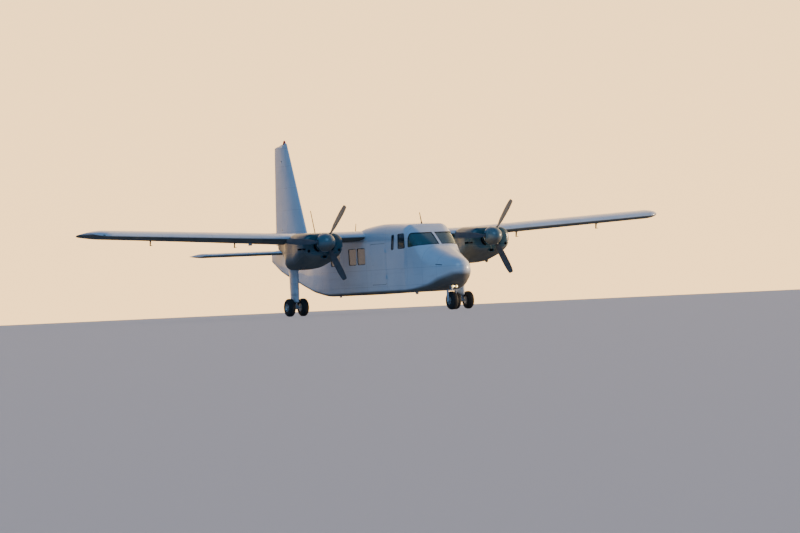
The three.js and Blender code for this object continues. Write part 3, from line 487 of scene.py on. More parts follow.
def side_block(corners, radius, reach, shrink=0.0, steps=8):
    """A tool through one side of the aeroplane: an outline of stations and heights with round corners"""
    corners = np.array(corners, float)
    middle = corners.mean(axis=0)
    corners -= np.sign(corners - middle) * shrink
    outline = []
    for i, corner in enumerate(corners):
        before = corners[i - 1] - corner
        after = corners[(i + 1) % len(corners)] - corner
        start = corner + before / np.linalg.norm(before) * radius
        end = corner + after / np.linalg.norm(after) * radius
        for t in np.linspace(0, 1, steps + 1):
            outline.append(start * (1 - t) ** 2 + corner * 2 * t * (1 - t) + end * t**2)
    return skin("outline", metres([[(x, s, z) for s, z in outline] for x in reach]))


def mark_undersides(mesh):
    """Keeps in each corner of the mesh how far it looks down, from 0 to 1"""
    normals = np.empty(len(mesh.loops) * 3, np.float32)
    mesh.corner_normals.foreach_get("vector", normals)
    marks = mesh.attributes.new("facing_down", "FLOAT", "CORNER")
    marks.data.foreach_set("value", np.clip(-normals[2::3], 0, 1))


def mount(piece, body, slot, material, *nodes, sharp=32):
    """Gives a piece its surface, the body that it rides on and the CAD nodes that it stands for"""
    mesh = piece.data
    mesh.materials.clear()
    mesh.materials.append(material)
    painted = slot in ("white_paint", "nacelle_paint")
    # Faces of painted pieces that look down take a dark finish: painted shade.
    if painted:
        mesh.materials.append(belly_film if material in (fuselage_paint, leg_paint) else wing_film)
    finish_numbers = [int(painted and face.normal.z < -SHADE_FROM) for face in mesh.polygons]
    mesh.polygons.foreach_set("material_index", finish_numbers)
    mesh.shade_smooth()
    mesh.set_sharp_from_angle(angle=math.radians(sharp))
    if painted:
        mark_undersides(mesh)
    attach(piece, body)
    if nodes:
        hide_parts(*nodes)


def mount_pair(piece, name, body, slot, material, *nodes):
    """Mounts a piece of the port side and its mirror image; braces in the body's name stand for the side"""
    for made, ending in ((piece, "port"), (mirrored(piece), "starboard")):
        made.name = f"{name}_{ending}"
        mount(made, body.format(ending), slot, material, *[f"{node}_{ending}" for node in nodes])


def fuselage_stations(start, end, step=70.0):
    """Stations from start to end, close together towards the tip of the nose"""
    tip = [NOSE_END * (i / 36) ** 2 for i in range(36)]
    rest = np.arange(NOSE_END, LENGTH, step).tolist()
    kept = [s for s in tip + rest if start < s < end] + [s for s in CREASES if start < s < end]
    return [start] + sorted(set(kept)) + [end]


def fuselage_part(name, start, end, inset=0.0):
    stations = fuselage_stations(start, end)
    rings = [frame_ring(row, inset=inset) for row in rows_at(FRAMES, stations, CREASES)]
    return skin(name, metres(rings))


def circle(steps):
    return [2 * math.pi * i / steps for i in range(steps)]


def rod(name, start, end, radius, end_radius=None, sides=24):
    """A round bar between two points in millimetres, or a cone where the radii differ"""
    start, end = Vector(metres(start)), Vector(metres(end))
    turn = (end - start).to_track_quat("Z", "Y")
    rings = []
    for middle, size in ((start, radius), (end, radius if end_radius is None else end_radius)):
        spokes = [Vector((math.cos(angle), math.sin(angle), 0)) * (size / 1000) for angle in circle(sides)]
        rings.append([middle + turn @ spoke for spoke in spokes])
    return skin(name, rings)


def box_corners(across, up):
    return [(across[0], up[0]), (across[1], up[0]), (across[1], up[1]), (across[0], up[1])]


POST_HALF = 30
WINDSCREEN = [(1040, 1565), (1760, 1500), (1735, 1850), (1040, 1850)]
COCKPIT_WINDOWS = [
    [(1880, 1490), (2285, 1480), (2260, 1840), (1900, 1848)],
    [(2505, 1470), (2660, 1465), (2590, 1825), (2435, 1835)],
]
CABIN_WINDOWS = [box_corners((4110, 4560), (1160, 1560)), box_corners((4620, 5060), (1160, 1560))]
REAR_WINDOW = box_corners((5560, 6090), (1160, 1520))
DOOR_WINDOW = box_corners((5560, 6000), (1160, 1520))
WINDOW_CORNER = 55
THROUGH_WALL = (420, 760)
DOORS = {
    # side of the aeroplane, stations, heights
    "pilot_door": (1, (2960, 3600), (660, 1640)),
    "starboard_door": (-1, (2960, 3800), (660, 1640)),
    "rear_door": (1, (5400, 6120), (660, 1640)),
    "baggage_door": (1, (6300, 6900), (820, 1440)),
}
DOOR_CORNER = 60
NOSE_AXLE = 710
LEG_WELL_RADIUS = 55
LEG_WELL_TOP = 760


def glazed_outlines():
    """Each glazed place: its name, its sides of the aeroplane, its outline and how far across it reaches"""
    places = [("windscreen", (1, -1), WINDSCREEN, (POST_HALF, THROUGH_WALL[1]))]
    for number, outline in enumerate(COCKPIT_WINDOWS + CABIN_WINDOWS):
        places.append((f"side_window_{number + 1}", (1, -1), outline, THROUGH_WALL))
    places.append(("rear_window", (-1,), REAR_WINDOW, THROUGH_WALL))
    return places


def outline_tools(shrink=0.0):
    tools = []
    for _, sides, outline, reach in glazed_outlines():
        for side in sides:
            tool = side_block(outline, WINDOW_CORNER, reach, shrink)
            tools.append(tool if side > 0 else mirror_tool(tool))
    return tools


def mirror_tool(tool):
    other = mirrored(tool)
    bpy.data.objects.remove(tool)
    return other


def door_tool(name, shrink=0.0):
    side, stations, heights = DOORS[name]
    tool = side_block(box_corners(stations, heights), DOOR_CORNER, THROUGH_WALL, shrink)
    return tool if side > 0 else mirror_tool(tool)


fuselage = fuselage_part("fuselage", 0, LENGTH)
wall_inside = fuselage_part("wall_inside", NOSE_END + 1, 10300, WALL)
leg_well = rod("leg_well", (0, NOSE_AXLE, 300), (0, NOSE_AXLE, LEG_WELL_TOP), LEG_WELL_RADIUS)
cut(fuselage, wall_inside, leg_well, *outline_tools(), *[door_tool(name) for name in DOORS])
FUSELAGE_SEAMS = (600, 1140, 1815, 2930, 4060, 5370, 6680, 7200, 7900, 8600, 9300, 10050)
leg_paint = enamel("leg_paint", along=(-0.60,), upright=(0.42, 0.78, 1.16), dirt=1.2, shade_colour=BELLY_SHADE_COLOUR)
fuselage_paint = enamel("fuselage_paint", along=[metres_aft(seam) for seam in FUSELAGE_SEAMS],
                        upright=(0.62, 1.02, 1.72), shade_colour=BELLY_SHADE_COLOUR)
mount(fuselage, "airframe", "white_paint", fuselage_paint, "nose", "cabin_shell", "tail_cone")


# Doors. Each leaf is a piece of the same wall, hung on two knuckle hinges at its front edge, closed on a
# black rubber seal and opened by a small lever on a round-cornered plate.
HINGE_LINES = {"pilot_door": 621.0, "starboard_door": 621.0, "rear_door": 621.0, "baggage_door": 612.4}
KNUCKLE_RADIUS = 9
KNUCKLE_HEIGHT = 45
KNUCKLE_INSET = 130
KNUCKLE_PIN = 6
DOOR_GAP = 7
SEAL_WIDTH = 12
SEAL_DEPTHS = (9, 38)  # from the skin, of its outer and inner faces
BESIDE_DOOR = 60  # how far a blank for a leaf reaches past its opening
HANDLE_INSET = 95
HANDLE_PARTS = [
    # reach forwards and aft of the handle's middle, half height, corner, depths from the skin
    ((-60, 60), 22, 18, (-6, 3)),
    ((-48, 40), 8, 7, (-2, 9)),
]


def joined(name, pieces):
    """One mesh of several separate shells"""
    form = bmesh.new()
    for piece in pieces:
        form.from_mesh(piece.data)
        bpy.data.objects.remove(piece)
    mesh = bpy.data.meshes.new(name)
    form.to_mesh(mesh)
    form.free()
    return laid(name, mesh)


def slab(stations, heights, x_range):
    lows = (x_range[0], stations[0], heights[0])
    return block("slab", lows, (x_range[1], stations[1], heights[1]))


def door_hinges(front, heights, wall_x, axis):
    """Shells of the two hinges on the port side: the wall's half and the door's half"""
    on_wall, on_door = [], []
    for low in (heights[0] + KNUCKLE_INSET, heights[1] - KNUCKLE_INSET - 2 * KNUCKLE_HEIGHT):
        middle = low + KNUCKLE_HEIGHT
        top = middle + KNUCKLE_HEIGHT
        on_wall.append(rod("knuckle", (axis, front, low), (axis, front, middle), KNUCKLE_RADIUS))
        on_wall.append(rod("pin", (axis, front, low), (axis, front, top + 4), KNUCKLE_PIN))
        on_wall.append(slab((front - 50, front - 4), (low, middle), (wall_x - 8, wall_x + 5)))
        on_wall.append(slab((front - 14, front), (low, middle), (wall_x - 8, axis)))
        on_door.append(rod("knuckle", (axis, front, middle + 1), (axis, front, top), KNUCKLE_RADIUS))
        on_door.append(slab((front + 14, front + 55), (middle + 1, top), (wall_x - 8, wall_x + 5)))
        on_door.append(slab((front, front + 18), (middle + 1, top), (wall_x + 5, axis + 6)))
    return on_wall, on_door


def to_side(pieces, side):
    return pieces if side > 0 else [mirror_tool(piece) for piece in pieces]


rubber = mottled("seal_rubber", (0.012, 0.013, 0.015), (0.035, 0.036, 0.038), 60.0, 220.0, 0.0006, 0.75)

wall_hinges = []
for name, (side, stations, heights) in DOORS.items():
    front, back = stations[0] - BESIDE_DOOR, stations[1] + BESIDE_DOOR
    leaf = cut(fuselage_part(name, front, back), fuselage_part("inside", front - 20, back + 20, WALL))
    common(leaf, door_tool(name, DOOR_GAP))
    if name == "rear_door":
        cut(leaf, side_block(DOOR_WINDOW, WINDOW_CORNER, THROUGH_WALL))
    wall_x = rows_at(FRAMES, [stations[0]], CREASES)[0][1]
    on_wall, on_door = door_hinges(stations[0], heights, wall_x, HINGE_LINES[name])
    wall_hinges += to_side(on_wall, side)
    handle, level = stations[1] - HANDLE_INSET, sum(heights) / 2
    for (ahead, behind), half, corner, depths in HANDLE_PARTS:
        outline = box_corners((handle + ahead, handle + behind), (level - half, level + half))
        on_door.append(side_block(outline, corner, (wall_x + depths[0], wall_x + depths[1])))
    leaf = joined(name + "_leaf", [leaf, *to_side(on_door, side)])
    mount(leaf, name + "_leaf", "white_paint", fuselage_paint, name)
    seal = cut(fuselage_part("seal", front, back, SEAL_DEPTHS[0]),
               fuselage_part("inside", front - 20, back + 20, SEAL_DEPTHS[1]))
    common(seal, door_tool(name, -2))
    cut(seal, door_tool(name, SEAL_WIDTH))
    seal.name = name + "_seal"
    mount(seal, "airframe", "black_plastic", rubber)
mount(joined("door_hinges", wall_hinges), "airframe", "white_paint", fuselage_paint)


# Window glass. Tinted acrylic sheet, bent to the skin and held a finger's width inside it by black rubber
# channels. The two windscreen panes meet at a centre post.
GLASS_INSET = 12
GLASS_THICK = 6
CHANNEL_WIDTH = 15
CHANNEL_FROM = 4
CHANNEL_TO = 36


def tinted_glass(name, tint, shade, body, shine):
    """Clear, tinted sheet: it lets light through, and shines more the more it is seen edge on"""
    finish = Finish(name, roughness=0.06, metallic=0.8)
    finish.paint("Base Color", finish.blend(finish.noise(0.9), shade, body))
    clear = finish.node("ShaderNodeBsdfTransparent", {"Color": tint})
    edge = finish.node("ShaderNodeLayerWeight", {"Blend": 0.35}).outputs["Fresnel"]
    smears = finish.noise(2.5, stretch=(1.0, 1.0, 0.3)) * 0.10
    share = finish.wire("ShaderNodeMath", {0: edge, 1: smears + shine}, operation="ADD")
    mixed = finish.node("ShaderNodeMixShader", {0: share, 1: clear.outputs[0], 2: finish.shader.outputs[0]})
    finish.tree.links.new(mixed.outputs[0], finish.tree.nodes["Material Output"].inputs["Surface"])
    return finish.material


screen_glass, side_glass, cabin_glass = [tinted_glass(*row) for row in (
    # name, tint of the light through it, its two colours where it shines, how much it shines
    ("screen_glass", (0.80, 0.90, 0.87, 1), (0.45, 0.60, 0.60, 1), (0.55, 0.68, 0.68, 1), 0.12),
    ("side_glass", (0.84, 0.90, 0.92, 1), (0.30, 0.36, 0.42, 1), (0.40, 0.46, 0.52, 1), 0.10),
    # The cabin glass's pale beige colours and its large share of them are a painted reflection of bright sky.
    ("cabin_glass", (0.90, 0.91, 0.88, 1), (0.66, 0.58, 0.47, 1), (0.76, 0.68, 0.56, 1), 0.42),
)]
GLAZING = {
    # place: its glass, and the CAD nodes that its panes stand for
    "windscreen": (screen_glass, ["windscreen_{}"]),
    "side_window_1": (side_glass, ["cockpit_window_{}"]),
    "side_window_2": (side_glass, []),
    "side_window_3": (cabin_glass, ["cabin_window_{}"]),
    "side_window_4": (cabin_glass, []),
    "rear_window": (cabin_glass, ["rear_window"]),
}


def glass_shell(stations, inset, thick):
    start, end = stations
    outer = fuselage_part("pane", start, end, inset)
    return cut(outer, fuselage_part("inside", start - 30, end + 30, inset + thick))


def glaze(name, side, outline, reach, body, nodes, glass):
    """A pane and the rubber channel round it"""
    stations = (min(s for s, _ in outline) - 40, max(s for s, _ in outline) + 40)
    pane = glass_shell(stations, GLASS_INSET, GLASS_THICK)
    common(pane, side_block(outline, WINDOW_CORNER, reach, 1))
    channel = glass_shell(stations, CHANNEL_FROM, CHANNEL_TO - CHANNEL_FROM)
    common(channel, side_block(outline, WINDOW_CORNER, reach))
    inner_reach = (reach[0] + CHANNEL_WIDTH, reach[1])
    cut(channel, side_block(outline, WINDOW_CORNER - 10, inner_reach, CHANNEL_WIDTH))
    pane, channel = to_side([pane, channel], side)
    pane.name = name + "_pane"
    channel.name = name + "_channel"
    mount(pane, body, "glass", glass, *nodes)
    mount(channel, body, "black_plastic", rubber)


for name, sides, outline, reach in glazed_outlines():
    glass, nodes = GLAZING[name]
    for side in sides:
        ending = "port" if side > 0 else "starboard"
        named = [node.format(ending) for node in nodes]
        glaze(f"{name}_{ending}", side, outline, reach, "airframe", named, glass)
glaze("rear_door_window", 1, DOOR_WINDOW, THROUGH_WALL, "rear_door_leaf", ["rear_door_window"], cabin_glass)


# Wing. Metal skin over ribs and two spars in three parts: a straight centre section over the cabin and the
# engines, and two outer panels that rise and taper a little to rounded tips.
SPAN = 14940
WING_LE = 4060
WING_Z = 1840
WING_CHORD = 2050
ENGINE_X = 2200
JOINT_X = 2800
TIP_X = 7150
TIP_CHORD = 1800
DIHEDRAL = 0.05
NOSE_UP = 2.0
SECTION_STEPS = 40


def section(chord, thickness, camber, grow=0.0):
    """Points along and above the chord, from the trailing edge over the top to the nose and back below"""
    points = []
    for i in range(-SECTION_STEPS, SECTION_STEPS + 1):
        t = (1 - math.cos(math.pi * abs(i) / SECTION_STEPS)) / 2
        spread = 0.2969 * math.sqrt(t) + 0.2843 * t**3 - 0.126 * t - 0.3516 * t**2 - 0.1 * t**4
        half = 5 * thickness * spread * chord + grow
        points.append((t * chord + grow * (2 * t - 1), middle_line(t, camber) * chord - np.sign(i) * half))
    return points


CAMBER = 0.018
CAMBER_PEAK = 0.3


def middle_line(t, camber):
    if t < CAMBER_PEAK:
        return camber * (2 * CAMBER_PEAK * t - t**2) / CAMBER_PEAK**2
    return camber * (1 - 2 * CAMBER_PEAK + 2 * CAMBER_PEAK * t - t**2) / (1 - CAMBER_PEAK) ** 2


def wing_rib(x):
    """Leading edge, height, chord, nose-up setting and fullness of the wing at a distance from the middle"""
    size = abs(x)
    share = min(max((size - ENGINE_X) / (TIP_X - ENGINE_X), 0), 1)
    z = WING_Z + DIHEDRAL * max(size - ENGINE_X, 0)
    chord = WING_CHORD + (TIP_CHORD - WING_CHORD) * share
    if size <= TIP_X:
        return WING_LE, z, chord, NOSE_UP * (1 - share), 1.0
    fall = math.sqrt(max(1 - ((size - TIP_X) / (SPAN / 2 - TIP_X)) ** 2, 0))
    return WING_LE + 420 * (1 - fall), z + 54 * (1 - fall), TIP_CHORD - 900 * (1 - fall), 0, fall**0.6


def wing_ring(x, grow=0.0):
    le, z, chord, setting, full = wing_rib(x)
    turn = math.radians(setting)
    ring = []
    for along, up in section(chord, 0.12 * full + 1e-4, CAMBER, grow):
        aft = along * math.cos(turn) + up * math.sin(turn)
        ring.append((x, le + aft, z + up * math.cos(turn) - along * math.sin(turn)))
    return ring


def wing_part(name, start, end, grow=0.0):
    inside = [-ENGINE_X, 0, ENGINE_X, TIP_X, *range(-7000, 7001, 350)]
    tip = [TIP_X + (SPAN / 2 - TIP_X) * math.sin(math.radians(a)) for a in range(6, 90, 6)]
    places = [start] + sorted({x for x in inside + tip if start < x < end}) + [end]
    return skin(name, metres([wing_ring(x, grow) for x in places]))


def wing_point(x, share):
    """A point on the middle line of the wing, at a share of the chord"""
    le, z, chord, setting, _ = wing_rib(x)
    turn = math.radians(setting)
    along = share * chord
    up = middle_line(share, CAMBER) * chord
    aft = along * math.cos(turn) + up * math.sin(turn)
    return metres((x, le + aft, z + up * math.cos(turn) - along * math.sin(turn)))


# A hinged surface turns about pins that plates on the fixed part carry. It has a round nose, and the cove
# that it turns in is wider by a running gap. Sizes in millimetres, the line of the hinge in metres.
RUNNING_GAP = 7
PIN_RADIUS = 8
PLATE = 14
PIN_ENGAGED = 25
FAR = 1500


def hinged(whole, start, end, nose, open_below=False):
    """Splits a form into the part that stays and the part that turns about the line from start to end"""
    start, end = Vector(start), Vector(end)
    along = (end - start).normalized()
    up = along.cross(Vector((0, 1, 0))).normalized()
    aft = up.cross(along)
    place = Matrix((along, aft, up)).transposed().to_4x4()
    place.translation = start
    length = (end - start).length * 1000

    def slab_on_line(x, y, z):
        ends = [[(x[0], a, z[0]), (x[1], a, z[0]), (x[1], a, z[1]), (x[0], a, z[1])] for a in y]
        return skin("slab", [[place @ (Vector(point) / 1000) for point in ring] for ring in ends])

    def round_on_line(x0, x1, radius, sides=48):
        rings = [[(x, radius * math.cos(a), radius * math.sin(a)) for a in circle(sides)] for x in (x0, x1)]
        return skin("round", [[place @ (Vector(point) / 1000) for point in ring] for ring in rings])

    cove = nose + RUNNING_GAP
    low, high = -RUNNING_GAP, length + RUNNING_GAP
    turning = add(slab_on_line((0, length), (0, FAR), (-FAR, FAR)), round_on_line(0, length, nose))
    surface = common(twin(whole), turning)
    room = add(slab_on_line((low, high), (0, FAR), (-FAR, FAR)), round_on_line(low, high, cove))
    if open_below:
        add(room, slab_on_line((low, high), (-cove, 1), (-FAR, 0)))
    fixed = cut(whole, room)
    brackets = []
    for share in (0.15, 0.85):
        x = share * length
        half = PLATE / 2 + RUNNING_GAP
        reach = half + PIN_ENGAGED
        cut(surface, round_on_line(x - half, x + half, cove))
        cut(surface, round_on_line(x - reach - 4, x + reach + 4, PIN_RADIUS + 1.5, 16))
        faces = (x - PLATE / 2, x + PLATE / 2)
        plate = slab_on_line(faces, (-cove - 30, 0), (-1.6 * PIN_RADIUS, 1.6 * PIN_RADIUS))
        brackets += [plate, round_on_line(*faces, 2 * PIN_RADIUS, 24)]
        brackets.append(round_on_line(x - reach, x + reach, PIN_RADIUS, 16))
    return surface, joined("fixed", [fixed, *brackets])


HINGE_SHARE = 0.78
FLAP_NOSE = 60
FLAP_INBOARD = (720, 2130)
FLAP_OUTBOARD = (2850, 4560)
AILERON = (4590, 7060)


def hung(whole, spans, open_below):
    start, end = (wing_point(x, HINGE_SHARE) for x in spans)
    return hinged(whole, start, end, FLAP_NOSE, open_below)


WING_RIBS = (640, 1160, 1700, 2790, 3300, 3850, 4575, 5200, 5850, 6500)
WING_SEAMS = (WING_LE + 190, WING_LE + 620, WING_LE + 1120)  # behind the nose and on both spars
wing_paint = enamel("wing_paint", across=[side * x / 1000 for side in (-1, 1) for x in (*WING_RIBS, TIP_X)],
                    along=[metres_aft(station) for station in WING_SEAMS], dirt=0.3)
inner_half, centre_fixed = hung(wing_part("wing_half", -1, JOINT_X), FLAP_INBOARD, True)
outer_flap, outer_fixed = hung(wing_part("wing_outer", JOINT_X + 0.3, SPAN / 2), FLAP_OUTBOARD, True)
aileron, outer_fixed = hung(outer_fixed, AILERON, False)
JACK_PAD = (3300, WING_LE + 0.35 * WING_CHORD)
jack_pad = rod("jack_pad", (*JACK_PAD, 1735), (*JACK_PAD, 1840), 45, sides=32)
outer_fixed = joined("wing_outer", [outer_fixed, jack_pad])
centre_section = joined("wing_centre_skin", [mirrored(centre_fixed), centre_fixed])
mount(centre_section, "airframe", "white_paint", wing_paint, "wing_centre")
mount_pair(outer_fixed, "wing_outer_skin", "airframe", "white_paint", wing_paint, "wing_outer")
mount_pair(inner_half, "inboard_flap", "{}_inboard_flap", "white_paint", wing_paint, "flap_inboard")
mount_pair(outer_flap, "outboard_flap", "{}_outboard_flap", "white_paint", wing_paint, "flap_outboard")
mount_pair(aileron, "aileron_skin", "{}_aileron", "white_paint", wing_paint, "aileron")


# Tailplane and elevator. One flat surface set through the tail cone; the elevator halves turn together on
# a tube.
TAIL_Z = 1600
TAIL_LE = 9750
TAIL_CHORD = 1100
TAIL_HALF = 2335
ELEVATOR_HINGE = TAIL_LE + 0.62 * TAIL_CHORD
ELEVATOR = (190, TAIL_HALF - 80)
ELEVATOR_NOSE = 40
TAIL_TIP = 60  # width of the round end of the tailplane
TAIL_RIBS = (620, 1200, 1750)


def tail_ring(x):
    size = abs(x)
    fall = math.sqrt(max(1 - (max(size - TAIL_HALF + TAIL_TIP, 0) / TAIL_TIP) ** 2, 0))
    le = TAIL_LE + 110 * (1 - fall)
    chord = TAIL_CHORD - 220 * (1 - fall)
    full = 0.1 * fall**0.6 + 1e-4
    return [(x, le + along, TAIL_Z + up) for along, up in section(chord, full, 0.0)]


tail_places = [-1, 500, 1000, 1500, 2000]
tail_places += [TAIL_HALF - TAIL_TIP + TAIL_TIP * math.sin(math.radians(a)) for a in range(0, 91, 10)]
half_tail = skin("half_tail", metres([tail_ring(x) for x in tail_places]))
elevator_half, tail_fixed = hinged(
    half_tail,
    metres((ELEVATOR[0], ELEVATOR_HINGE, TAIL_Z)),
    metres((ELEVATOR[1], ELEVATOR_HINGE, TAIL_Z)),
    ELEVATOR_NOSE,
)
open_x = ELEVATOR[0] + RUNNING_GAP + 1
middle_room = block("middle_room", (-open_x, ELEVATOR_HINGE - 60, 1300), (open_x, LENGTH + 200, 1900))
tail_fixed = cut(tail_fixed, middle_room)
tube_end = ELEVATOR[0] + 20
tube = rod("tube", (-tube_end, ELEVATOR_HINGE, TAIL_Z), (tube_end, ELEVATOR_HINGE, TAIL_Z), 20)
TAIL_ACROSS = [side * x / 1000 for side in (-1, 1) for x in (*TAIL_RIBS, 2260)]
tail_paint = enamel("tail_paint", across=TAIL_ACROSS, along=(4.52, 4.80), dirt=0.25)
tailplane = joined("tailplane_skin", [mirrored(tail_fixed), tail_fixed])
mount(tailplane, "airframe", "white_paint", tail_paint, "tailplane")
elevator = joined("elevator_skin", [mirrored(elevator_half), elevator_half, tube])
mount(elevator, "elevator_surface", "white_paint", tail_paint, "elevator")


# Fin and rudder. A tall tapered fin stands on the tail cone, with a red beacon on its tip; the rudder hangs
# behind it.
FIN_FOOT = (1560, 8540, 10640)
FIN_TIP = (4270, 9715, 10480)
FIN_TOP = 4330
TOP_SLOPE = 95
SLOPE_FROM = 3900
FIN_RIBS = (2100, 2650, 3200, 3750)
RUDDER_LINE = ((0, 10150, 1790), (0, 10010, FIN_TOP - 90))
RUDDER_NOSE = 62


def fin_ring(z):
    share = min((z - FIN_FOOT[0]) / (FIN_TIP[0] - FIN_FOOT[0]), 1)
    fall = math.sqrt(max(1 - (max(z - FIN_TIP[0], 0) / (FIN_TOP - FIN_TIP[0])) ** 2, 0))
    le = FIN_FOOT[1] + (FIN_TIP[1] - FIN_FOOT[1]) * share + 115 * (1 - fall)
    te = FIN_FOOT[2] + (FIN_TIP[2] - FIN_FOOT[2]) * share - 80 * (1 - fall)
    slope = TOP_SLOPE * max(z - SLOPE_FROM, 0) / (FIN_TOP - SLOPE_FROM)
    points = section(te - le, 0.1 * fall**0.6 + 1e-4, 0.0)
    return [(up, le + along, z - slope * along / (te - le)) for along, up in points]


fin_heights = [1560, 2000, 2450, 2900, 3350, 3800, 4000, 4150]
fin_heights += [FIN_TIP[0] + (FIN_TOP - FIN_TIP[0]) * math.sin(math.radians(a)) for a in range(0, 91, 10)]
whole_fin = skin("whole_fin", metres([fin_ring(z) for z in fin_heights]))
cut(whole_fin, block("rudder_foot", (-200, 9950, 1500), (200, 10900, 1783)))
rudder, fin = hinged(whole_fin, metres(RUDDER_LINE[0]), metres(RUDDER_LINE[1]), RUDDER_NOSE)
fin_paint = enamel("fin_paint", along=(4.30,), upright=[z / 1000 for z in (*FIN_RIBS, 4200)], dirt=0.2)
fin.name = "fin_skin"
mount(fin, "airframe", "white_paint", fin_paint, "fin")
rudder.name = "rudder_skin"
mount(rudder, "rudder_surface", "white_paint", fin_paint, "rudder")


# Engine nacelles. A sheet metal cowl in two cheeks with an air intake on each side of the spinner and a
# chin intake below, split lines with fasteners, a slot for hot air on each side, and a fairing that runs
# back under the wing and carries the main leg.
COWL_FRONT = 2960
FIREWALL = 3800
NACELLE_END = 5550
HUB_Z = 1720
NACELLE_ROOT = 2952
NACELLE_FRAMES = [
    # station, half width, bottom, top, radius of the low corners, radius of the high corners
    (2960, 430, 1430, 1880, 210, 190),
    (3040, 515, 1340, 1930, 290, 230),
    (3300, 520, 1245, 1950, 320, 220),
    (3500, 500, 1190, 1955, 320, 200),
    (3800, 455, 1125, 1965, 300, 180),
    (4300, 400, 1100, 1900, 290, 150),
    (4650, 270, 1110, 1880, 200, 130),
    (4950, 130, 1250, 1860, 110, 90),
    (5250, 70, 1500, 1830, 60, 60),
    (5550, 28, 1620, 1760, 25, 25),
]
NACELLE_CLEAN = (0.020, 0.078, 0.105, 1.0)
NACELLE_WORN = (0.038, 0.100, 0.125, 1.0)


def nacelle_part(name, start, end, inset=0.0):
    stations = [COWL_FRONT + 80 * (i / 8) ** 2 for i in range(9)] + [3040 + 40 * i for i in range(1, 64)]
    places = [start] + [s for s in stations if start < s < end] + [end]
    rows = rows_at(NACELLE_FRAMES, places, root_from=NACELLE_ROOT)
    return skin(name, metres([frame_ring(row, ENGINE_X, inset) for row in rows]))


def face_tool(corners, radius, stations):
    """A tool that runs fore and aft: an outline across the engine with round corners"""
    tool = side_block(corners, radius, (0, 1), steps=6)
    turned = tool.data
    for vertex in turned.vertices:
        depth, x, z = vertex.co.x * 1000, vertex.co.y * 1000 + ORIGIN_STATION, vertex.co.z * 1000
        station = stations[0] if depth < 0.5 else stations[1]
        vertex.co = metres((ENGINE_X + x, station, z))
    closed(turned)
    return tool


COWL_WALL = 7
SHAFT_HOLE = 110
BAFFLE_STATIONS = (3060, 3150)
BAFFLE_HOLE = 150
INTAKE_RADII = (228, 296)
INTAKE_TURNS = (8, 58)
INTAKE_STEPS = 16
OIL_INTAKE = (392, 1530, 36)  # across from the shaft, height, radius
CHIN_ACROSS = (-58, 58)
CHIN_HEIGHTS = (1350, 1412)
CHIN_CORNER = 30
SLOT_STATIONS = (2985, 3330)
SLOT_HEIGHTS = (1556, 1596)
SLOT_CORNER = 18
COWL_SEAMS = (3034, 3440, 3796, 4320)
nacelle_paint = enamel("nacelle_paint", across=(-2.2, 2.2), along=[metres_aft(seam) for seam in COWL_SEAMS],
                       upright=(1.50,), clean=NACELLE_CLEAN, worn=NACELLE_WORN, dirt=0.6, coat=0.12)
nacelle_paint.node_tree.nodes["Principled BSDF"].inputs["Specular IOR Level"].default_value = 0.35
cowl = nacelle_part("cowl_skin", COWL_FRONT, FIREWALL)
cowl_inside = nacelle_part("cowl_inside", COWL_FRONT + 12, FIREWALL, COWL_WALL)
for vertex in cowl_inside.data.vertices:
    if vertex.co.y > metres_aft(FIREWALL - 1):
        vertex.co.y += 0.05
cut(cowl, cowl_inside)
cut(cowl, rod("shaft_hole", (ENGINE_X, 2900, HUB_Z), (ENGINE_X, 3060, HUB_Z), SHAFT_HOLE, sides=40))


def intake_tool(side, stations, grow=0.0):
    """A crescent intake beside the spinner, from just below the level of the shaft down to its lower side"""
    inner, outer = INTAKE_RADII[0] - grow, INTAKE_RADII[1] + grow
    spread = math.degrees(grow / INTAKE_RADII[1])
    turns = np.radians(np.linspace(INTAKE_TURNS[0] - spread, INTAKE_TURNS[1] + spread, INTAKE_STEPS))
    swell = np.sin(np.linspace(0.25, math.pi - 0.25, INTAKE_STEPS)) ** 0.5
    outline = [(inner, turn) for turn in turns]
    outline += [(inner + (outer - inner) * size, turn) for size, turn in zip(swell[::-1], turns[::-1])]
    points = [(ENGINE_X + side * r * math.cos(turn), HUB_Z - r * math.sin(turn)) for r, turn in outline]
    return skin("intake", metres([[(x, station, z) for x, z in points] for station in stations]))


for side in (-1, 1):
    cut(cowl, intake_tool(side, (2900, 3000)))
cut(cowl, face_tool(box_corners(CHIN_ACROSS, CHIN_HEIGHTS), CHIN_CORNER, (2900, 3100)))
for reach in ((ENGINE_X - 700, ENGINE_X - 300), (ENGINE_X + 300, ENGINE_X + 700)):
    cut(cowl, side_block(box_corners(SLOT_STATIONS, SLOT_HEIGHTS), SLOT_CORNER, reach))


LIP = 11
LIP_STATIONS = (2950, 2985)
lip_reach = (LIP_STATIONS[0] - 9, LIP_STATIONS[1] + 9)
lips = [cut(intake_tool(side, LIP_STATIONS, LIP), intake_tool(side, lip_reach)) for side in (-1, 1)]
chin_rim = box_corners(*[(low - LIP, high + LIP) for low, high in (CHIN_ACROSS, CHIN_HEIGHTS)])
chin_lip = face_tool(chin_rim, CHIN_CORNER + LIP, (2945, 3060))
lips.append(cut(chin_lip, face_tool(box_corners(CHIN_ACROSS, CHIN_HEIGHTS), CHIN_CORNER, (2930, 3080))))
intake_lips = joined("intake_lips", lips)
baffle = nacelle_part("baffle", *BAFFLE_STATIONS, COWL_WALL + 1)
cut(baffle, rod("round", (ENGINE_X, 3000, HUB_Z), (ENGINE_X, 3200, HUB_Z), BAFFLE_HOLE, sides=40))
nacelle_body = nacelle_part("nacelle_skin", FIREWALL + 0.3, NACELLE_END)

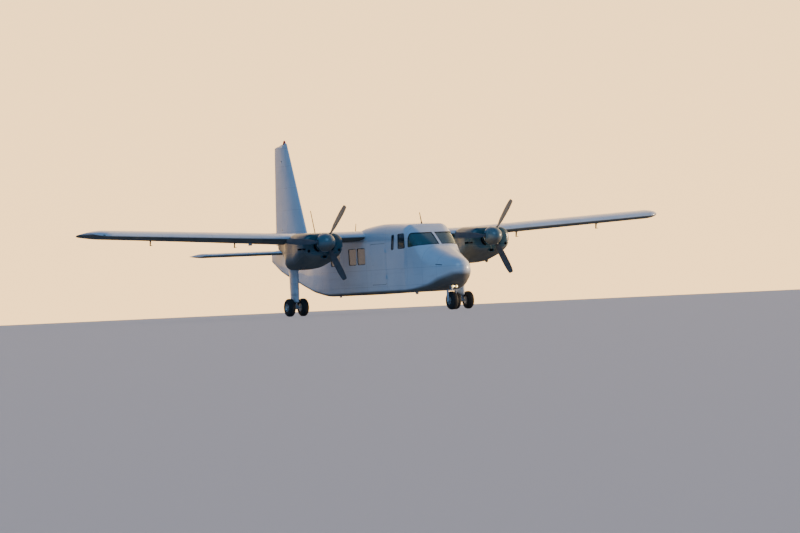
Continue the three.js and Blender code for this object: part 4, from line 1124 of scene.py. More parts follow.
# Air-cooled flat engine: a crankcase with three finned cylinders a side, iron grey, seen through the intakes.
iron = mottled("engine_iron", (0.05, 0.052, 0.055), (0.14, 0.135, 0.13), 14.0, 90.0, 0.002, 0.55, 0.6)
CASE_Z = HUB_Z - 40
CYLINDER_STATIONS = (3260, 3450, 3640)
COOLING_FINS = 11
FIN_PITCH = 22
FIN_THICK = 9
engine_shells = [rod("crankcase", (ENGINE_X, 3170, CASE_Z), (ENGINE_X, 3790, CASE_Z), 120, 130, 32)]
engine_shells.append(rod("shaft", (ENGINE_X, 2905, HUB_Z), (ENGINE_X, 3200, HUB_Z), 40, sides=32))
for station in CYLINDER_STATIONS:
    for side in (-1, 1):
        for fin_number in range(COOLING_FINS):
            x = ENGINE_X + side * (120 + FIN_PITCH * fin_number)
            faces = [(x + reach, station, CASE_Z) for reach in (0, side * FIN_THICK)]
            engine_shells.append(rod("cooling_fin", *faces, 84, 84, 28))
        ends = [(ENGINE_X + side * reach, station, CASE_Z) for reach in (100, 368)]
        engine_shells.append(rod("barrel", *ends, 62, 62, 28))
engine = joined("engine_block", engine_shells)

# Exhaust stubs: one thin steel pipe slants out of the belly of each cowl, burnt brown.
exhaust = rod("exhaust_stub", (ENGINE_X + 190, 3560, 1300), (ENGINE_X + 235, 3720, 1120), 34, 36, 32)
cut(exhaust, rod("bore", (ENGINE_X + 200, 3600, 1256), (ENGINE_X + 240, 3738, 1100), 29, 29, 32))
steel = mottled("burnt_steel", (0.10, 0.08, 0.065), (0.26, 0.22, 0.19), 20.0, 120.0, 0.0008, 0.45, 0.85)


def bored(piece, middle):
    """A cowl with an oil intake to port of its shaft"""
    across, height, radius = OIL_INTAKE
    ends = [(middle + across, station, height) for station in (2900, 3150)]
    return cut(piece, rod("oil_intake", *ends, radius))


# The port cowl has one oil intake. The starboard one has its mirror image and one more to port of the shaft.
port_cowl = bored(cowl, ENGINE_X)
starboard_cowl = bored(mirrored(port_cowl), -ENGINE_X)
for made, ending in ((port_cowl, "port"), (starboard_cowl, "starboard")):
    made.name = f"cowl_skin_{ending}"
    mount(made, "airframe", "nacelle_paint", nacelle_paint, f"cowl_{ending}")
mount_pair(intake_lips, "intake_lips", "airframe", "nacelle_paint", nacelle_paint)
mount_pair(baffle, "cooling_baffle", "airframe", "black_plastic", rubber)
mount_pair(nacelle_body, "nacelle_skin", "airframe", "nacelle_paint", nacelle_paint, "nacelle")
mount_pair(engine, "engine_block", "airframe", "engine_iron", iron, "engine")
mount_pair(exhaust, "exhaust_stub", "airframe", "engine_iron", steel)


# Propellers. Three twisted metal blades in a steel hub, painted dark, behind a spun metal spinner with a
# bright rim. Both turn the same way.
PROP_STATION = 2850
PROP_RADIUS = 1010
SPINNER_RADIUS = 222
SPINNER_LENGTH = 330
SPINNER_BACK = 43.7
BLADE_REST = math.radians(33)
BLADE = [
    # radius, chord, thickness, pitch in degrees
    (205, 84, 60, 52),
    (300, 112, 40, 44),
    (450, 150, 26, 32),
    (750, 152, 14, 22),
    (930, 128, 9, 18),
    (970, 115, 8, 17),
]
BLADE_SIDES = 28
BLADE_TIP = (970, 115, 7, 17)  # where the tip starts to round off, with its chord, thickness and pitch there
BLADE_SOCKET = [(60, 46), (150, 46), (165, 40), (225, 40), (262, 26)]
HUB = [(-90, 30), (-86, 60), (-70, 92), (30, 95), (44, 120), (54.7, 120)]
FLANGE = [(44, 40), (44, 203), (54.7, 203), (54.7, 40)]
SPINNER_HOLE = [(120, 60), (300, 60)]
SPINNER_RIM = [(22, 219), (22, 223.5), (24, 225), (43.5, 225), (43.5, 221)]
# The spinner's paint is a lighter copy of the nacelle paint: painted light, for the light that falls on the
# front of the engine.
SPINNER_CLEAN = (0.075, 0.150, 0.180, 1.0)
SPINNER_WORN = (0.11, 0.18, 0.21, 1.0)

prop_metal = mottled("propeller_paint", (0.045, 0.05, 0.058), (0.11, 0.12, 0.135), 9.0, 70.0, 0.0008, 0.42,
                     metallic=0.25)
bright = mottled("bright_rim", (0.66, 0.68, 0.70), (0.82, 0.83, 0.84), 40.0, 200.0, 0.0002, 0.16, 1.0)


def blade_ring(radius, chord, thick, pitch):
    turn = math.radians(pitch)
    ring = []
    for angle in circle(BLADE_SIDES):
        along = -0.5 * math.cos(angle)
        round_nose = (0.5 - along) ** 0.5 * (0.5 + along) ** 0.8
        rise = (0.98 if math.sin(angle) > 0 else -0.62) * round_nose
        c, u = along * chord, rise * thick
        x = c * math.cos(turn) - u * math.sin(turn)
        y = c * math.sin(turn) + u * math.cos(turn)
        ring.append((x, y, radius))
    return ring


def blade():
    tip_from, chord, thick, pitch = BLADE_TIP
    rings = [blade_ring(*row) for row in eased_rows(BLADE, np.linspace(205, tip_from, 26))]
    for angle in range(10, 91, 10):
        radius = tip_from + (PROP_RADIUS - tip_from) * math.sin(math.radians(angle))
        fall = max(math.cos(math.radians(angle)), 0.02)
        rings.append(blade_ring(radius, chord * fall**0.5, thick * fall, pitch))
    return skin("blade", np.array(rings) / 1000)


def lathe(name, profile, steps=64):
    """A form turned about the fore and aft axis, from a profile of distances aft and radii in millimetres"""
    rings = [[(r * math.sin(a), y, r * math.cos(a)) for a in circle(steps)] for y, r in profile]
    return skin(name, np.array(rings) / 1000)


def on_end(name, profile, steps):
    """A round form on the line of a blade, from a profile of distances from the hub and radii"""
    rings = [[(r * math.cos(a), r * math.sin(a), z) for a in circle(steps)] for z, r in profile]
    return skin(name, np.array(rings) / 1000)


def at_hub(piece, side, turn=0.0):
    hub = Vector(metres((side * ENGINE_X, PROP_STATION, HUB_Z)))
    piece.data.transform(Matrix.Translation(hub) @ Matrix.Rotation(turn, 4, "Y"))
    return piece


def spinner_profile(radius, length, back):
    """The outside of the spinner from its point to its open back"""
    points = []
    for i in range(25):
        angle = math.radians(90 * (1 - (i / 24) ** 1.3))
        points.append((back - length * math.sin(angle), max(radius * math.cos(angle), 0.01)))
    return points


spinner_paint = enamel("spinner_paint", clean=SPINNER_CLEAN, worn=SPINNER_WORN, dirt=0.4, coat=0.3)

for side, ending in ((1, "port"), (-1, "starboard")):
    turns = [BLADE_REST + turn for turn in circle(3)]
    shells = [at_hub(blade(), side, turn) for turn in turns]
    for turn in turns:
        shells.append(at_hub(on_end("root", BLADE_SOCKET, 32), side, turn))
    shells += [at_hub(lathe("hub", HUB), side), at_hub(lathe("flange", FLANGE), side)]
    mount(joined(f"propeller_blades_{ending}", shells), f"{ending}_propeller", "propeller_metal",
          prop_metal, f"propeller_{ending}")
    spinner = lathe("spinner", spinner_profile(SPINNER_RADIUS, SPINNER_LENGTH, SPINNER_BACK))
    cut(spinner, lathe("inside", spinner_profile(SPINNER_RADIUS - 5, SPINNER_LENGTH - 6, SPINNER_BACK + 5)))
    at_hub(spinner, side)
    for turn in turns:
        cut(spinner, at_hub(on_end("hole", SPINNER_HOLE, 40), side, turn))
    spinner.name = f"spinner_dome_{ending}"
    mount(spinner, f"{ending}_propeller", "nacelle_paint", spinner_paint, f"spinner_{ending}")
    rim = lathe(f"spinner_rim_{ending}", SPINNER_RIM)
    mount(at_hub(rim, side), f"{ending}_propeller", "chrome", bright)


# Main legs. A fixed streamlined fairing hangs from each nacelle, made of two pressed halves in the airframe
# white, with a cuff where it meets the nacelle.
MAIN_AXLE = 4700
LEG_MIDDLE = MAIN_AXLE + 20
LEG_FRAMES = [
    # height, half width, chord
    (340, 62, 390),
    (352, 67, 402),
    (900, 76, 450),
    (1100, 78, 462),
    (1180, 88, 480),
    (1260, 116, 540),
]


def leg_ring(height, half, chord):
    ring = []
    for angle in circle(48):
        reach = 0.35 if math.cos(angle) > 0 else 0.65
        point = math.sin(angle) * abs(math.sin(angle)) ** (0.0 if math.cos(angle) > 0 else 0.35)
        ring.append((ENGINE_X + half * point, LEG_MIDDLE - math.cos(angle) * chord * reach, height))
    return ring


leg_heights = [340, 344, 352] + list(range(400, 1260, 40)) + [1260]
leg = skin("main_leg_fairing", metres([leg_ring(*row) for row in eased_rows(LEG_FRAMES, leg_heights)]))
mount_pair(leg, "main_leg_fairing", "airframe", "white_paint", leg_paint, "main_leg")


# Oleo pistons, axles and torque links. Hard chromed rods slide in the legs; a forged eye at the foot holds
# the axle between the twin wheels, and a pair of hinged links behind stops the eye from turning.
TYRE_RADIUS = 215
EYE_HALF = 40
AXLE_RADIUS = 18
chrome = mottled("hard_chrome", (0.62, 0.63, 0.65), (0.80, 0.81, 0.83), 30.0, 260.0, 0.0002, 0.12, 1.0)
forging = mottled("grey_forging", (0.33, 0.35, 0.37), (0.47, 0.48, 0.50), 12.0, 110.0, 0.0008, 0.45, 0.35)


def main_axle(x, z=TYRE_RADIUS, station=MAIN_AXLE):
    return (x, station, z)


piston = rod("piston", main_axle(ENGINE_X, 235), main_axle(ENGINE_X, 344), 33, sides=40)
scraper = rod("scraper", main_axle(ENGINE_X, 322), main_axle(ENGINE_X, 343), 41, 44, 40)
mount_pair(piston, "main_piston_rod", "airframe", "chrome", chrome)
eye = rod("eye", main_axle(ENGINE_X - EYE_HALF), main_axle(ENGINE_X + EYE_HALF), 44, sides=40)
add(eye, rod("socket", main_axle(ENGINE_X, 225), main_axle(ENGINE_X, 285), 41, 37, 40))
cut(eye, rod("bore", main_axle(ENGINE_X - 60), main_axle(ENGINE_X + 60), AXLE_RADIUS + 1, sides=32))
link_shells = [eye, scraper]
low_link = [(MAIN_AXLE + 36, 212), (MAIN_AXLE + 152, 258), (MAIN_AXLE + 152, 280), (MAIN_AXLE + 36, 240)]
high_link = [(MAIN_AXLE + 30, 312), (MAIN_AXLE + 152, 262), (MAIN_AXLE + 152, 284), (MAIN_AXLE + 30, 340)]
for outline, places in ((low_link, (-16, 16)), (high_link, (-4, 4))):
    for x in places:
        link_shells.append(side_block(outline, 6, (ENGINE_X + x - 5, ENGINE_X + x + 5), steps=5))
pivot = [main_axle(ENGINE_X + reach, 270, MAIN_AXLE + 150) for reach in (-26, 26)]
link_shells.append(rod("pivot", *pivot, 9))
BRAKE_PIPE = [(30, -46, 240), (26, -60, 300), (16, -58, 341)]
brake_line = [(ENGINE_X + x, MAIN_AXLE + back, z) for x, back, z in BRAKE_PIPE]
for low, high in zip(brake_line, brake_line[1:]):
    link_shells.append(rod("brake_pipe", low, high, 4, sides=12))
mount_pair(joined("axle_eye", link_shells), "axle_eye", "airframe", "alloy", forging, "main_piston")


# Tyres and wheels. Black rubber tyres with four grooves round the tread on split cast alloy wheels, bolted
# through, with brake discs on their inner faces.
TYRE_HALF = 85
tyre_rubber = Finish("tyre_rubber", roughness=0.82)
dust = tyre_rubber.rise(tyre_rubber.noise(26.0, detail=5.0), 0.45, 0.75) * 0.5
tyre_rubber.paint("Base Color", tyre_rubber.blend(dust, (0.012, 0.012, 0.014, 1), (0.055, 0.052, 0.048, 1)))
tyre_rubber.paint("Roughness", dust * 0.3 + 0.70)
tyre_rubber.bump(tyre_rubber.noise(160.0), 0.001)
wheel_alloy = Finish("wheel_alloy", roughness=0.42, metallic=0.75)
grime = wheel_alloy.rise(wheel_alloy.noise(11.0), 0.35, 0.7)
wheel_alloy.paint("Base Color", wheel_alloy.blend(grime, (0.52, 0.53, 0.54, 1), (0.30, 0.30, 0.30, 1)))
wheel_alloy.bump(wheel_alloy.noise(140.0), 0.0008)
HALF_TYRE = [
    # distance across from the middle of the tyre, radius
    (10, 214.6), (11, 207), (16, 207), (17, 214), (37, 211.5), (38, 203), (43, 203), (44, 209.5),
    (50, 207), (62, 199), (75, 183), (82, 164), (85, 143), (84, 124), (78, 108), (67, 97),
]
TYRE_PROFILE = [(-across, r) for across, r in reversed(HALF_TYRE)] + HALF_TYRE + [(60, 90), (-60, 90)]
RIM_PROFILE = [
    # the outer face of the wheel, from its hub cap out to its flange and back through the well
    (79, 0.01), (80, 20), (78, 30), (66, 33), (52, 38), (44, 60), (46, 78), (60, 88), (74, 92),
    (77, 97), (72, 99), (66, 96), (60, 89), (-60, 89), (-66, 96), (-72, 99), (-77, 97), (-74, 92),
    (-58, 86), (-46, 76), (-44, 40), (-60, 34), (-76, 30), (-77, 0.01),
]


def turned_on_axle(profile, x, station, steps=96, flip=1):
    """Rings of a form turned about an axle, from a profile of distances across and radii"""
    return [[(x + flip * across, station + r * math.cos(a), TYRE_RADIUS + r * math.sin(a))
             for a in circle(steps)]
            for across, r in profile]


def tyre_at(name, x, station):
    rings = turned_on_axle(TYRE_PROFILE, x, station)
    count, around = len(rings), len(rings[0])
    order = np.arange(count * around).reshape(count, around)
    after, following = np.roll(order, -1, axis=1), np.roll(order, -1, axis=0)
    quads = np.stack([order, after, np.roll(after, -1, axis=0), following], axis=-1).reshape(-1, 4)
    mesh = bpy.data.meshes.new(name)
    mesh.from_pydata(metres(rings).reshape(-1, 3).tolist(), [], quads.tolist())
    return laid(name, closed(mesh))


def rim_at(x, station, outward):
    return skin("rim", metres(turned_on_axle(RIM_PROFILE, x, station, 72, outward)))


def bolts_at(x, station, outward):
    shells = []
    for i in range(8):
        angle = 2 * math.pi * (i + 0.5) / 8
        place = (station + 70 * math.cos(angle), TYRE_RADIUS + 70 * math.sin(angle))
        start, end = x + outward * 42, x + outward * 55
        shells.append(rod("bolt", (start, *place), (end, *place), 7, sides=6))
    return shells


WHEEL_XS = (ENGINE_X - 175, ENGINE_X + 175)
for side, ending in ((1, "port"), (-1, "starboard")):
    wheel_shells = []
    for x, outward in zip(WHEEL_XS, (-1, 1)):
        wheel_shells.append(rim_at(side * x, MAIN_AXLE, side * outward))
        wheel_shells += bolts_at(side * x, MAIN_AXLE, side * outward)
        faces = [main_axle(side * (x - outward * depth)) for depth in (82, 74)]
        wheel_shells.append(rod("brake_disc", *faces, 84, sides=56))
    wheel_shells.append(rod("axle", *[main_axle(side * x) for x in WHEEL_XS], AXLE_RADIUS, sides=32))
    mount(joined(f"main_wheel_pair_{ending}", wheel_shells), f"{ending}_main_wheels", "alloy",
          wheel_alloy.material, f"main_wheels_{ending}")
    for x, place in zip(WHEEL_XS, ("inner", "outer")):
        tyre = tyre_at(f"main_tyre_{place}_rubber_{ending}", side * x, MAIN_AXLE)
        mount(tyre, f"{ending}_main_wheels", "tyre", tyre_rubber.material, f"main_tyre_{place}_{ending}",
              sharp=50)


# Nose leg. A short steel strut in the belly carries two landing lamps on a bracket; below it a steerable
# fork of pressed steel holds the wheel.
FORK_TOP = 560
STEM_RADIUS = 26
LAMP_HEIGHT = 540
LAMP_ACROSS = 48
FORK_ARM = TYRE_HALF + 16
CROWN_HEIGHT = 455


def nose_point(z, x=0, offset=0):
    return (x, NOSE_AXLE + offset, z)


strut = rod("strut", nose_point(500), nose_point(LEG_WELL_TOP - 0.3), 40, sides=40)
add(strut, rod("collar", nose_point(561), nose_point(601), 54.7, sides=48))
add(strut, rod("gland", nose_point(500), nose_point(520), 46, sides=40))
cut(strut, rod("socket", nose_point(480), nose_point(FORK_TOP), STEM_RADIUS + 1.2, sides=40))
strut_shells = [strut]
for side in (-1, 1):
    bracket = [(NOSE_AXLE - 142, 530), (NOSE_AXLE - 26, 534), (NOSE_AXLE - 26, 548), (NOSE_AXLE - 142, 550)]
    strut_shells.append(side_block(bracket, 5, sorted((side * 14, side * 22))))
    bar = box_corners((NOSE_AXLE - 150, NOSE_AXLE - 132), (532, 548))
    strut_shells.append(side_block(bar, 5, sorted((side * 12, side * 52))))
mount(joined("nose_strut", strut_shells), "airframe", "alloy", forging, "nose_leg")

lamp_glass = Finish("lamp_lens", roughness=0.08)
for entry, first, second in (
    ("Base Color", (0.95, 0.90, 0.72, 1), (1.0, 0.96, 0.84, 1)),
    ("Emission Color", (1.0, 0.62, 0.12, 1), (1.0, 0.72, 0.20, 1)),
):
    lamp_glass.paint(entry, lamp_glass.blend(lamp_glass.noise(60.0), first, second))
lamp_glass.shader.inputs["Emission Strength"].default_value = 1.7
LAMP_BOWL = [(-132, 8), (-140, 18), (-160, 28), (-184, 34), (-189, 35), (-190, 33), (-184, 31), (-172, 29)]
LAMP_LENS = [(-172, 30.5), (-180, 30.5), (-184, 27), (-187, 18), (-188, 0.01)]


def lamp_rings(profile, x):
    return metres([[(x + r * math.sin(a), NOSE_AXLE + y, LAMP_HEIGHT + r * math.cos(a)) for a in circle(40)]
                   for y, r in profile])


for side, ending in ((1, "port"), (-1, "starboard")):
    bowl = skin(f"lamp_bowl_{ending}", lamp_rings(LAMP_BOWL, side * LAMP_ACROSS))
    mount(bowl, "airframe", "chrome", chrome)
    lens = skin(f"lamp_lens_{ending}", lamp_rings(LAMP_LENS, side * LAMP_ACROSS))
    mount(lens, "airframe", "glass", lamp_glass.material)

fork_shells = [rod("stem", nose_point(CROWN_HEIGHT), nose_point(FORK_TOP - 0.3), STEM_RADIUS, sides=40)]
crown_outline = [(NOSE_AXLE - 48, CROWN_HEIGHT - 14), (NOSE_AXLE + 48, CROWN_HEIGHT - 14),
                 (NOSE_AXLE + 40, CROWN_HEIGHT + 14), (NOSE_AXLE - 40, CROWN_HEIGHT + 14)]
fork_shells.append(side_block(crown_outline, 10, (-FORK_ARM - 9, FORK_ARM + 9)))
for side in (-1, 1):
    arm = [(NOSE_AXLE - 30, TYRE_RADIUS - 34), (NOSE_AXLE + 30, TYRE_RADIUS - 34),
           (NOSE_AXLE + 46, CROWN_HEIGHT + 8), (NOSE_AXLE - 46, CROWN_HEIGHT + 8)]
    fork_shells.append(side_block(arm, 22, sorted((side * (FORK_ARM - 7), side * (FORK_ARM + 8)))))
    boss = [nose_point(TYRE_RADIUS, side * (FORK_ARM + reach)) for reach in (-8, 16)]
    fork_shells.append(rod("boss", *boss, 30, sides=32))
axle = [nose_point(TYRE_RADIUS, x) for x in (-FORK_ARM, FORK_ARM)]
fork_shells.append(rod("axle", *axle, AXLE_RADIUS, sides=32))
fork_paint = enamel("fork_paint", dirt=1.2)
mount(joined("steering_fork", fork_shells), "nose_steering", "white_paint", fork_paint, "nose_fork")

nose_rim = [rim_at(0, NOSE_AXLE, 1)] + bolts_at(0, NOSE_AXLE, 1) + bolts_at(0, NOSE_AXLE, -1)
bore = [nose_point(TYRE_RADIUS, x) for x in (-100, 100)]
cut(nose_rim[0], rod("bore", *bore, AXLE_RADIUS + 1, sides=32))
mount(joined("nose_wheel_rim", nose_rim), "nose_wheel_and_tyre", "alloy", wheel_alloy.material, "nose_wheel")
nose_tyre = tyre_at("nose_tyre_rubber", 0, NOSE_AXLE)
mount(nose_tyre, "nose_wheel_and_tyre", "tyre", tyre_rubber.material, "nose_tyre", sharp=50)


# Fittings outside. Whip aerials of tapered steel rod on the roof and the tail, a blade aerial and a small
# fairing under the belly, a vent in the nose, a red beacon on the fin, lights in the wing tips, fuel caps
# and small masts under the wing.
WHIPS = [
    # name, foot, tip, foot radius, tip radius, node
    ("cockpit_whip", (0, 2150, 2040), (0, 2250, 2330), 14, 9, ("cockpit_aerial",)),
    ("roof_whip", (0, 5920, 1890), (0, 5850, 2180), 12, 7, ("roof_aerial",)),
    ("tail_whip", (0, 8170, 1790), (0, 8480, 2585), 14, 9, ()),
]
BELLY_FITTINGS = [
    # name, outline of stations and heights, half width
    ("belly_fairing", [(2520, 470), (2540, 400), (2600, 396), (2680, 470)], 16),
    ("belly_aerial", [(6820, 560), (6850, 404), (6960, 404), (6990, 560)], 6),
]
# Distance across and share of the wing's chord.
MAST_PLACES = [(3750, 0.32), (5930, 0.30)]
FUEL_CAPS = [(3450, 0.40), (4300, 0.40)]

black_paint = mottled("black_fitting", (0.015, 0.016, 0.018), (0.035, 0.036, 0.04), 30.0, 150.0, 0.0005, 0.45)
for name, foot, tip, foot_radius, tip_radius, nodes in WHIPS:
    foot, tip = Vector(foot), Vector(tip)
    rise = (tip - foot).normalized()
    shells = [rod("whip", foot, tip, foot_radius, tip_radius, 16)]
    shells.append(rod("ball", tip - rise * 5, tip, tip_radius + 1.5, tip_radius, 16))
    shells.append(rod("insulator", foot + rise * 6, foot + rise * 58, 24, 16, 24))
    shells.append(rod("ring", foot + rise * 58, foot + rise * 66, 18, 17, 24))
    mount(joined(name, shells), "airframe", "black_plastic", black_paint, *nodes)

vent = side_block([(430, 1046), (640, 1066), (640, 1080), (430, 1062)], 5, (-760, -340))
vent = common(vent, fuselage_part("vent_face", 300, 800, -3))
vent.name = "nose_vent"
mount(vent, "airframe", "black_plastic", black_paint)
for name, outline, half in BELLY_FITTINGS:
    fitting = side_block(outline, 14, (-half, half))
    fitting.name = name
    mount(fitting, "airframe", "white_paint", leg_paint)


def domed(name, foot, radius, height, steps=10, sides=40):
    """A low round dome on a ring, upright on its foot"""
    profile = [(radius * 1.12, 0), (radius * 1.12, 0.12 * height), (radius, 0.16 * height)]
    profile += [(max(radius * math.cos(a), 0.01), height * (0.16 + 0.84 * math.sin(a)))
                for a in np.linspace(0.1, math.pi / 2, steps)]
    x, station, z = foot
    rings = [[(x + r * math.cos(a), station + r * math.sin(a), z + up) for a in circle(sides)]
             for r, up in profile]
    return skin(name, metres(rings))


LAMP_GRAIN = (25.0, 140.0, 0.0006, 0.08)  # patches, grain, depth, roughness
red_glass = mottled("red_glass", (0.30, 0.012, 0.010), (0.46, 0.03, 0.02), *LAMP_GRAIN, coat=0.8)
green_glass = mottled("green_glass", (0.01, 0.10, 0.05), (0.02, 0.16, 0.08), *LAMP_GRAIN, coat=0.8)
mount(domed("fin_beacon", (0, 9870, 4292), 37, 106), "airframe", "glass", red_glass)


def tip_light(name, side):
    """Half a drop of glass on the leading edge of the wing tip"""
    rings = []
    for i in range(13):
        share = i / 12
        x = TIP_X + 110 + 90 * share
        spread = max(math.sin(math.pi * share) ** 0.5, 0.02)
        edge, middle = wing_rib(x)[:2]
        long, tall = 34 * spread, 14 * spread
        rings.append([(side * x, edge + 26 - long * math.cos(a), middle + 6 + tall * math.sin(a))
                      for a in circle(28)])
    return skin(name, metres(rings))


mount(tip_light("tip_light_port", 1), "airframe", "glass", red_glass)
mount(tip_light("tip_light_starboard", -1), "airframe", "glass", green_glass)


def wing_skin_point(x, station, below=True):
    """The point of the lower or upper skin of the wing that lies nearest to a station, in millimetres"""
    ring = wing_ring(x)
    half = ring[SECTION_STEPS:] if below else ring[:SECTION_STEPS + 1]
    return min(half, key=lambda point: abs(point[1] - station))


def on_chord(x, share):
    """The station at a share of the wing's chord"""
    edge, _, chord, _, _ = wing_rib(x)
    return edge + share * chord


mast_shells = []
for x, share in MAST_PLACES:
    _, station, z = wing_skin_point(x, on_chord(x, share))
    outline = [(-34, 14), (34, 14), (44, -118), (12, -124)]
    mast = [(station + back, z + up) for back, up in outline]
    mast_shells.append(side_block(mast, 9, (x - 8, x + 8)))
    saddle = box_corners((station - 52, station + 52), (z - 4, z + 12))
    mast_shells.append(side_block(saddle, 7, (x - 30, x + 30)))
    mast_shells.append(rod("tube", (x, station - 90, z - 116), (x, station + 50, z - 116), 7, 9, 16))
mount_pair(joined("wing_masts", mast_shells), "wing_masts", "airframe", "black_plastic", black_paint)

cap_shells = []
for x, share in FUEL_CAPS:
    _, station, z = wing_skin_point(x, on_chord(x, share), below=False)
    cap_shells.append(domed("cap", (x, station, z - 5), 44, 12, steps=5))
    grip = [(station - 26, z + 5), (station + 26, z + 5), (station + 22, z + 11), (station - 22, z + 11)]
    cap_shells.append(side_block(grip, 3, (x - 6, x + 6)))
mount_pair(joined("fuel_caps", cap_shells), "fuel_caps", "airframe", "alloy", forging)


# Fasteners. Dome-headed aluminium rivets join the skins to the frames and ribs in even rows; a points mesh
# gives where they are wanted, and only those that lie on metal are set, square to the skin.
RIVET_RADIUS = 4.5
RIVET_HEIGHT = 1.6
RIVET_PITCH = 62
RIVET_SIDES = 6
RIVET_REACH = 7


def along_line(points, pitch):
    """Points at even steps along a broken line, in millimetres"""
    points = np.asarray(points, float)
    run = np.concatenate([[0], np.cumsum(np.linalg.norm(np.diff(points, axis=0), axis=1))])
    wanted = np.arange(pitch / 2, run[-1], pitch)
    return np.stack([np.interp(wanted, run, points[:, i]) for i in range(3)], axis=1)


def rivet_tree():
    """Nodes that set a rivet at each point near a skin, turned square to it"""
    tree = bpy.data.node_groups.new("rivet_rows", "GeometryNodeTree")
    sockets = {}
    for name, kind in (
        ("Points", "Geometry"), ("Skin", "Object"), ("Head radius", "Float"),
        ("Head height", "Float"), ("Reach", "Float"), ("Finish", "Material"),
    ):
        socket = tree.interface.new_socket(name, in_out="INPUT", socket_type="NodeSocket" + kind)
        sockets[name] = socket.identifier
    tree.interface.new_socket("Rivets", in_out="OUTPUT", socket_type="NodeSocketGeometry")
    given = tree.nodes.new("NodeGroupInput")

    def node(kind, links, **settings):
        made = tree.nodes.new(kind)
        for key, value in settings.items():
            setattr(made, key, value)
        for key, value in links.items():
            if isinstance(value, bpy.types.NodeSocket):
                tree.links.new(value, made.inputs[key])
            else:
                made.inputs[key].default_value = value
        return made

    skin_shape = node("GeometryNodeObjectInfo", {"Object": given.outputs["Skin"]}).outputs["Geometry"]
    points = node("GeometryNodeMeshToPoints", {"Mesh": given.outputs["Points"]}).outputs["Points"]
    nearest = node("GeometryNodeProximity", {0: skin_shape}, target_element="FACES")
    far = node("FunctionNodeCompare", {"A": nearest.outputs["Distance"], "B": given.outputs["Reach"]},
               data_type="FLOAT", operation="GREATER_THAN")
    normal = node("GeometryNodeInputNormal", {}).outputs["Normal"]
    square = node("GeometryNodeSampleNearestSurface", {"Mesh": skin_shape, "Value": normal},
                  data_type="FLOAT_VECTOR").outputs["Value"]
    turn = node("FunctionNodeAlignRotationToVector", {"Vector": square}, axis="Z").outputs["Rotation"]
    kept = node("GeometryNodeStoreNamedAttribute", {"Geometry": points, "Name": "square", "Value": turn},
                data_type="QUATERNION", domain="POINT").outputs["Geometry"]
    kept = node("GeometryNodeDeleteGeometry", {"Geometry": kept, "Selection": far.outputs["Result"]},
                domain="POINT").outputs[0]
    seated = node("GeometryNodeSetPosition",
                  {"Geometry": kept, "Position": nearest.outputs["Position"]}).outputs[0]
    top = node("ShaderNodeMath", {0: given.outputs["Head radius"], 1: 0.5}, operation="MULTIPLY").outputs[0]
    head = node("GeometryNodeMeshCone", {"Vertices": RIVET_SIDES, "Radius Top": top,
                                         "Radius Bottom": given.outputs["Head radius"],
                                         "Depth": given.outputs["Head height"]})
    turned = node("GeometryNodeInputNamedAttribute", {"Name": "square"},
                  data_type="QUATERNION").outputs["Attribute"]
    set_in = node("GeometryNodeInstanceOnPoints",
                  {"Points": seated, "Instance": head.outputs["Mesh"], "Rotation": turned})
    whole = node("GeometryNodeRealizeInstances", {"Geometry": set_in.outputs[0]}).outputs[0]
    finished = node("GeometryNodeSetMaterial",
                    {"Geometry": whole, "Material": given.outputs["Finish"]}).outputs[0]
    tree.links.new(finished, tree.nodes.new("NodeGroupOutput").inputs[0])
    return tree, sockets


RIVETS, RIVET_SOCKETS = rivet_tree()


def riveted(name, skin_piece, lines, body, slot, material, pitch=RIVET_PITCH, size=1.0):
    """Rows of rivets along lines in millimetres, as one plain mesh"""
    mesh = bpy.data.meshes.new(name)
    mesh.from_pydata(metres(np.concatenate([along_line(line, pitch) for line in lines])).tolist(), [], [])
    piece = laid(name, mesh)
    step = piece.modifiers.new("rivets", "NODES")
    step.node_group = RIVETS
    values = {
        "Skin": skin_piece,
        "Head radius": RIVET_RADIUS * size / 1000,
        "Head height": RIVET_HEIGHT * size / 1000,
        "Reach": RIVET_REACH / 1000,
        "Finish": material,
    }
    for key, value in values.items():
        step[RIVET_SOCKETS[key]] = value
    freeze(piece)
    mount(piece, body, slot, material)


def paired_lines(lines):
    return lines + [[(-x, s, z) for x, s, z in line] for line in lines]


hull_lines = []
for seam in FUSELAGE_SEAMS[2:]:
    for beside in (-14, 14):
        row = rows_at(FRAMES, [seam + beside], CREASES)[0]
        ring = frame_ring(row)
        hull_lines.append(ring + ring[:1])
for height in (620, 1020):
    rows = rows_at(FRAMES, fuselage_stations(1900, 7100), CREASES)
    hull_lines += paired_lines([[(row[1], row[0], height - 12) for row in rows]])
riveted("fuselage_rivets", fuselage, hull_lines, "airframe", "white_paint", fuselage_paint)

wing_lines = []
for x in (*WING_RIBS, TIP_X - 20):
    wing_lines += paired_lines([wing_ring(x + 16), wing_ring(x - 16)])
for seam in WING_SEAMS:
    for below in (True, False):
        line = [wing_skin_point(x, seam, below) for x in np.arange(WING_RIBS[0], TIP_X, 150)]
        wing_lines += paired_lines([line])
for name in ("wing_centre_skin", "wing_outer_skin_port", "wing_outer_skin_starboard"):
    riveted(name.replace("skin", "rivets"), bpy.data.objects[name], wing_lines, "airframe", "white_paint",
            wing_paint)

fin_lines = [fin_ring(z + beside) for z in FIN_RIBS for beside in (-12, 12)]
riveted("fin_rivets", fin, fin_lines, "airframe", "white_paint", fin_paint)
tail_lines = paired_lines([tail_ring(x + beside) for x in (*TAIL_RIBS, 2230) for beside in (-12, 12)])
riveted("tailplane_rivets", tailplane, tail_lines, "airframe", "white_paint", tail_paint)
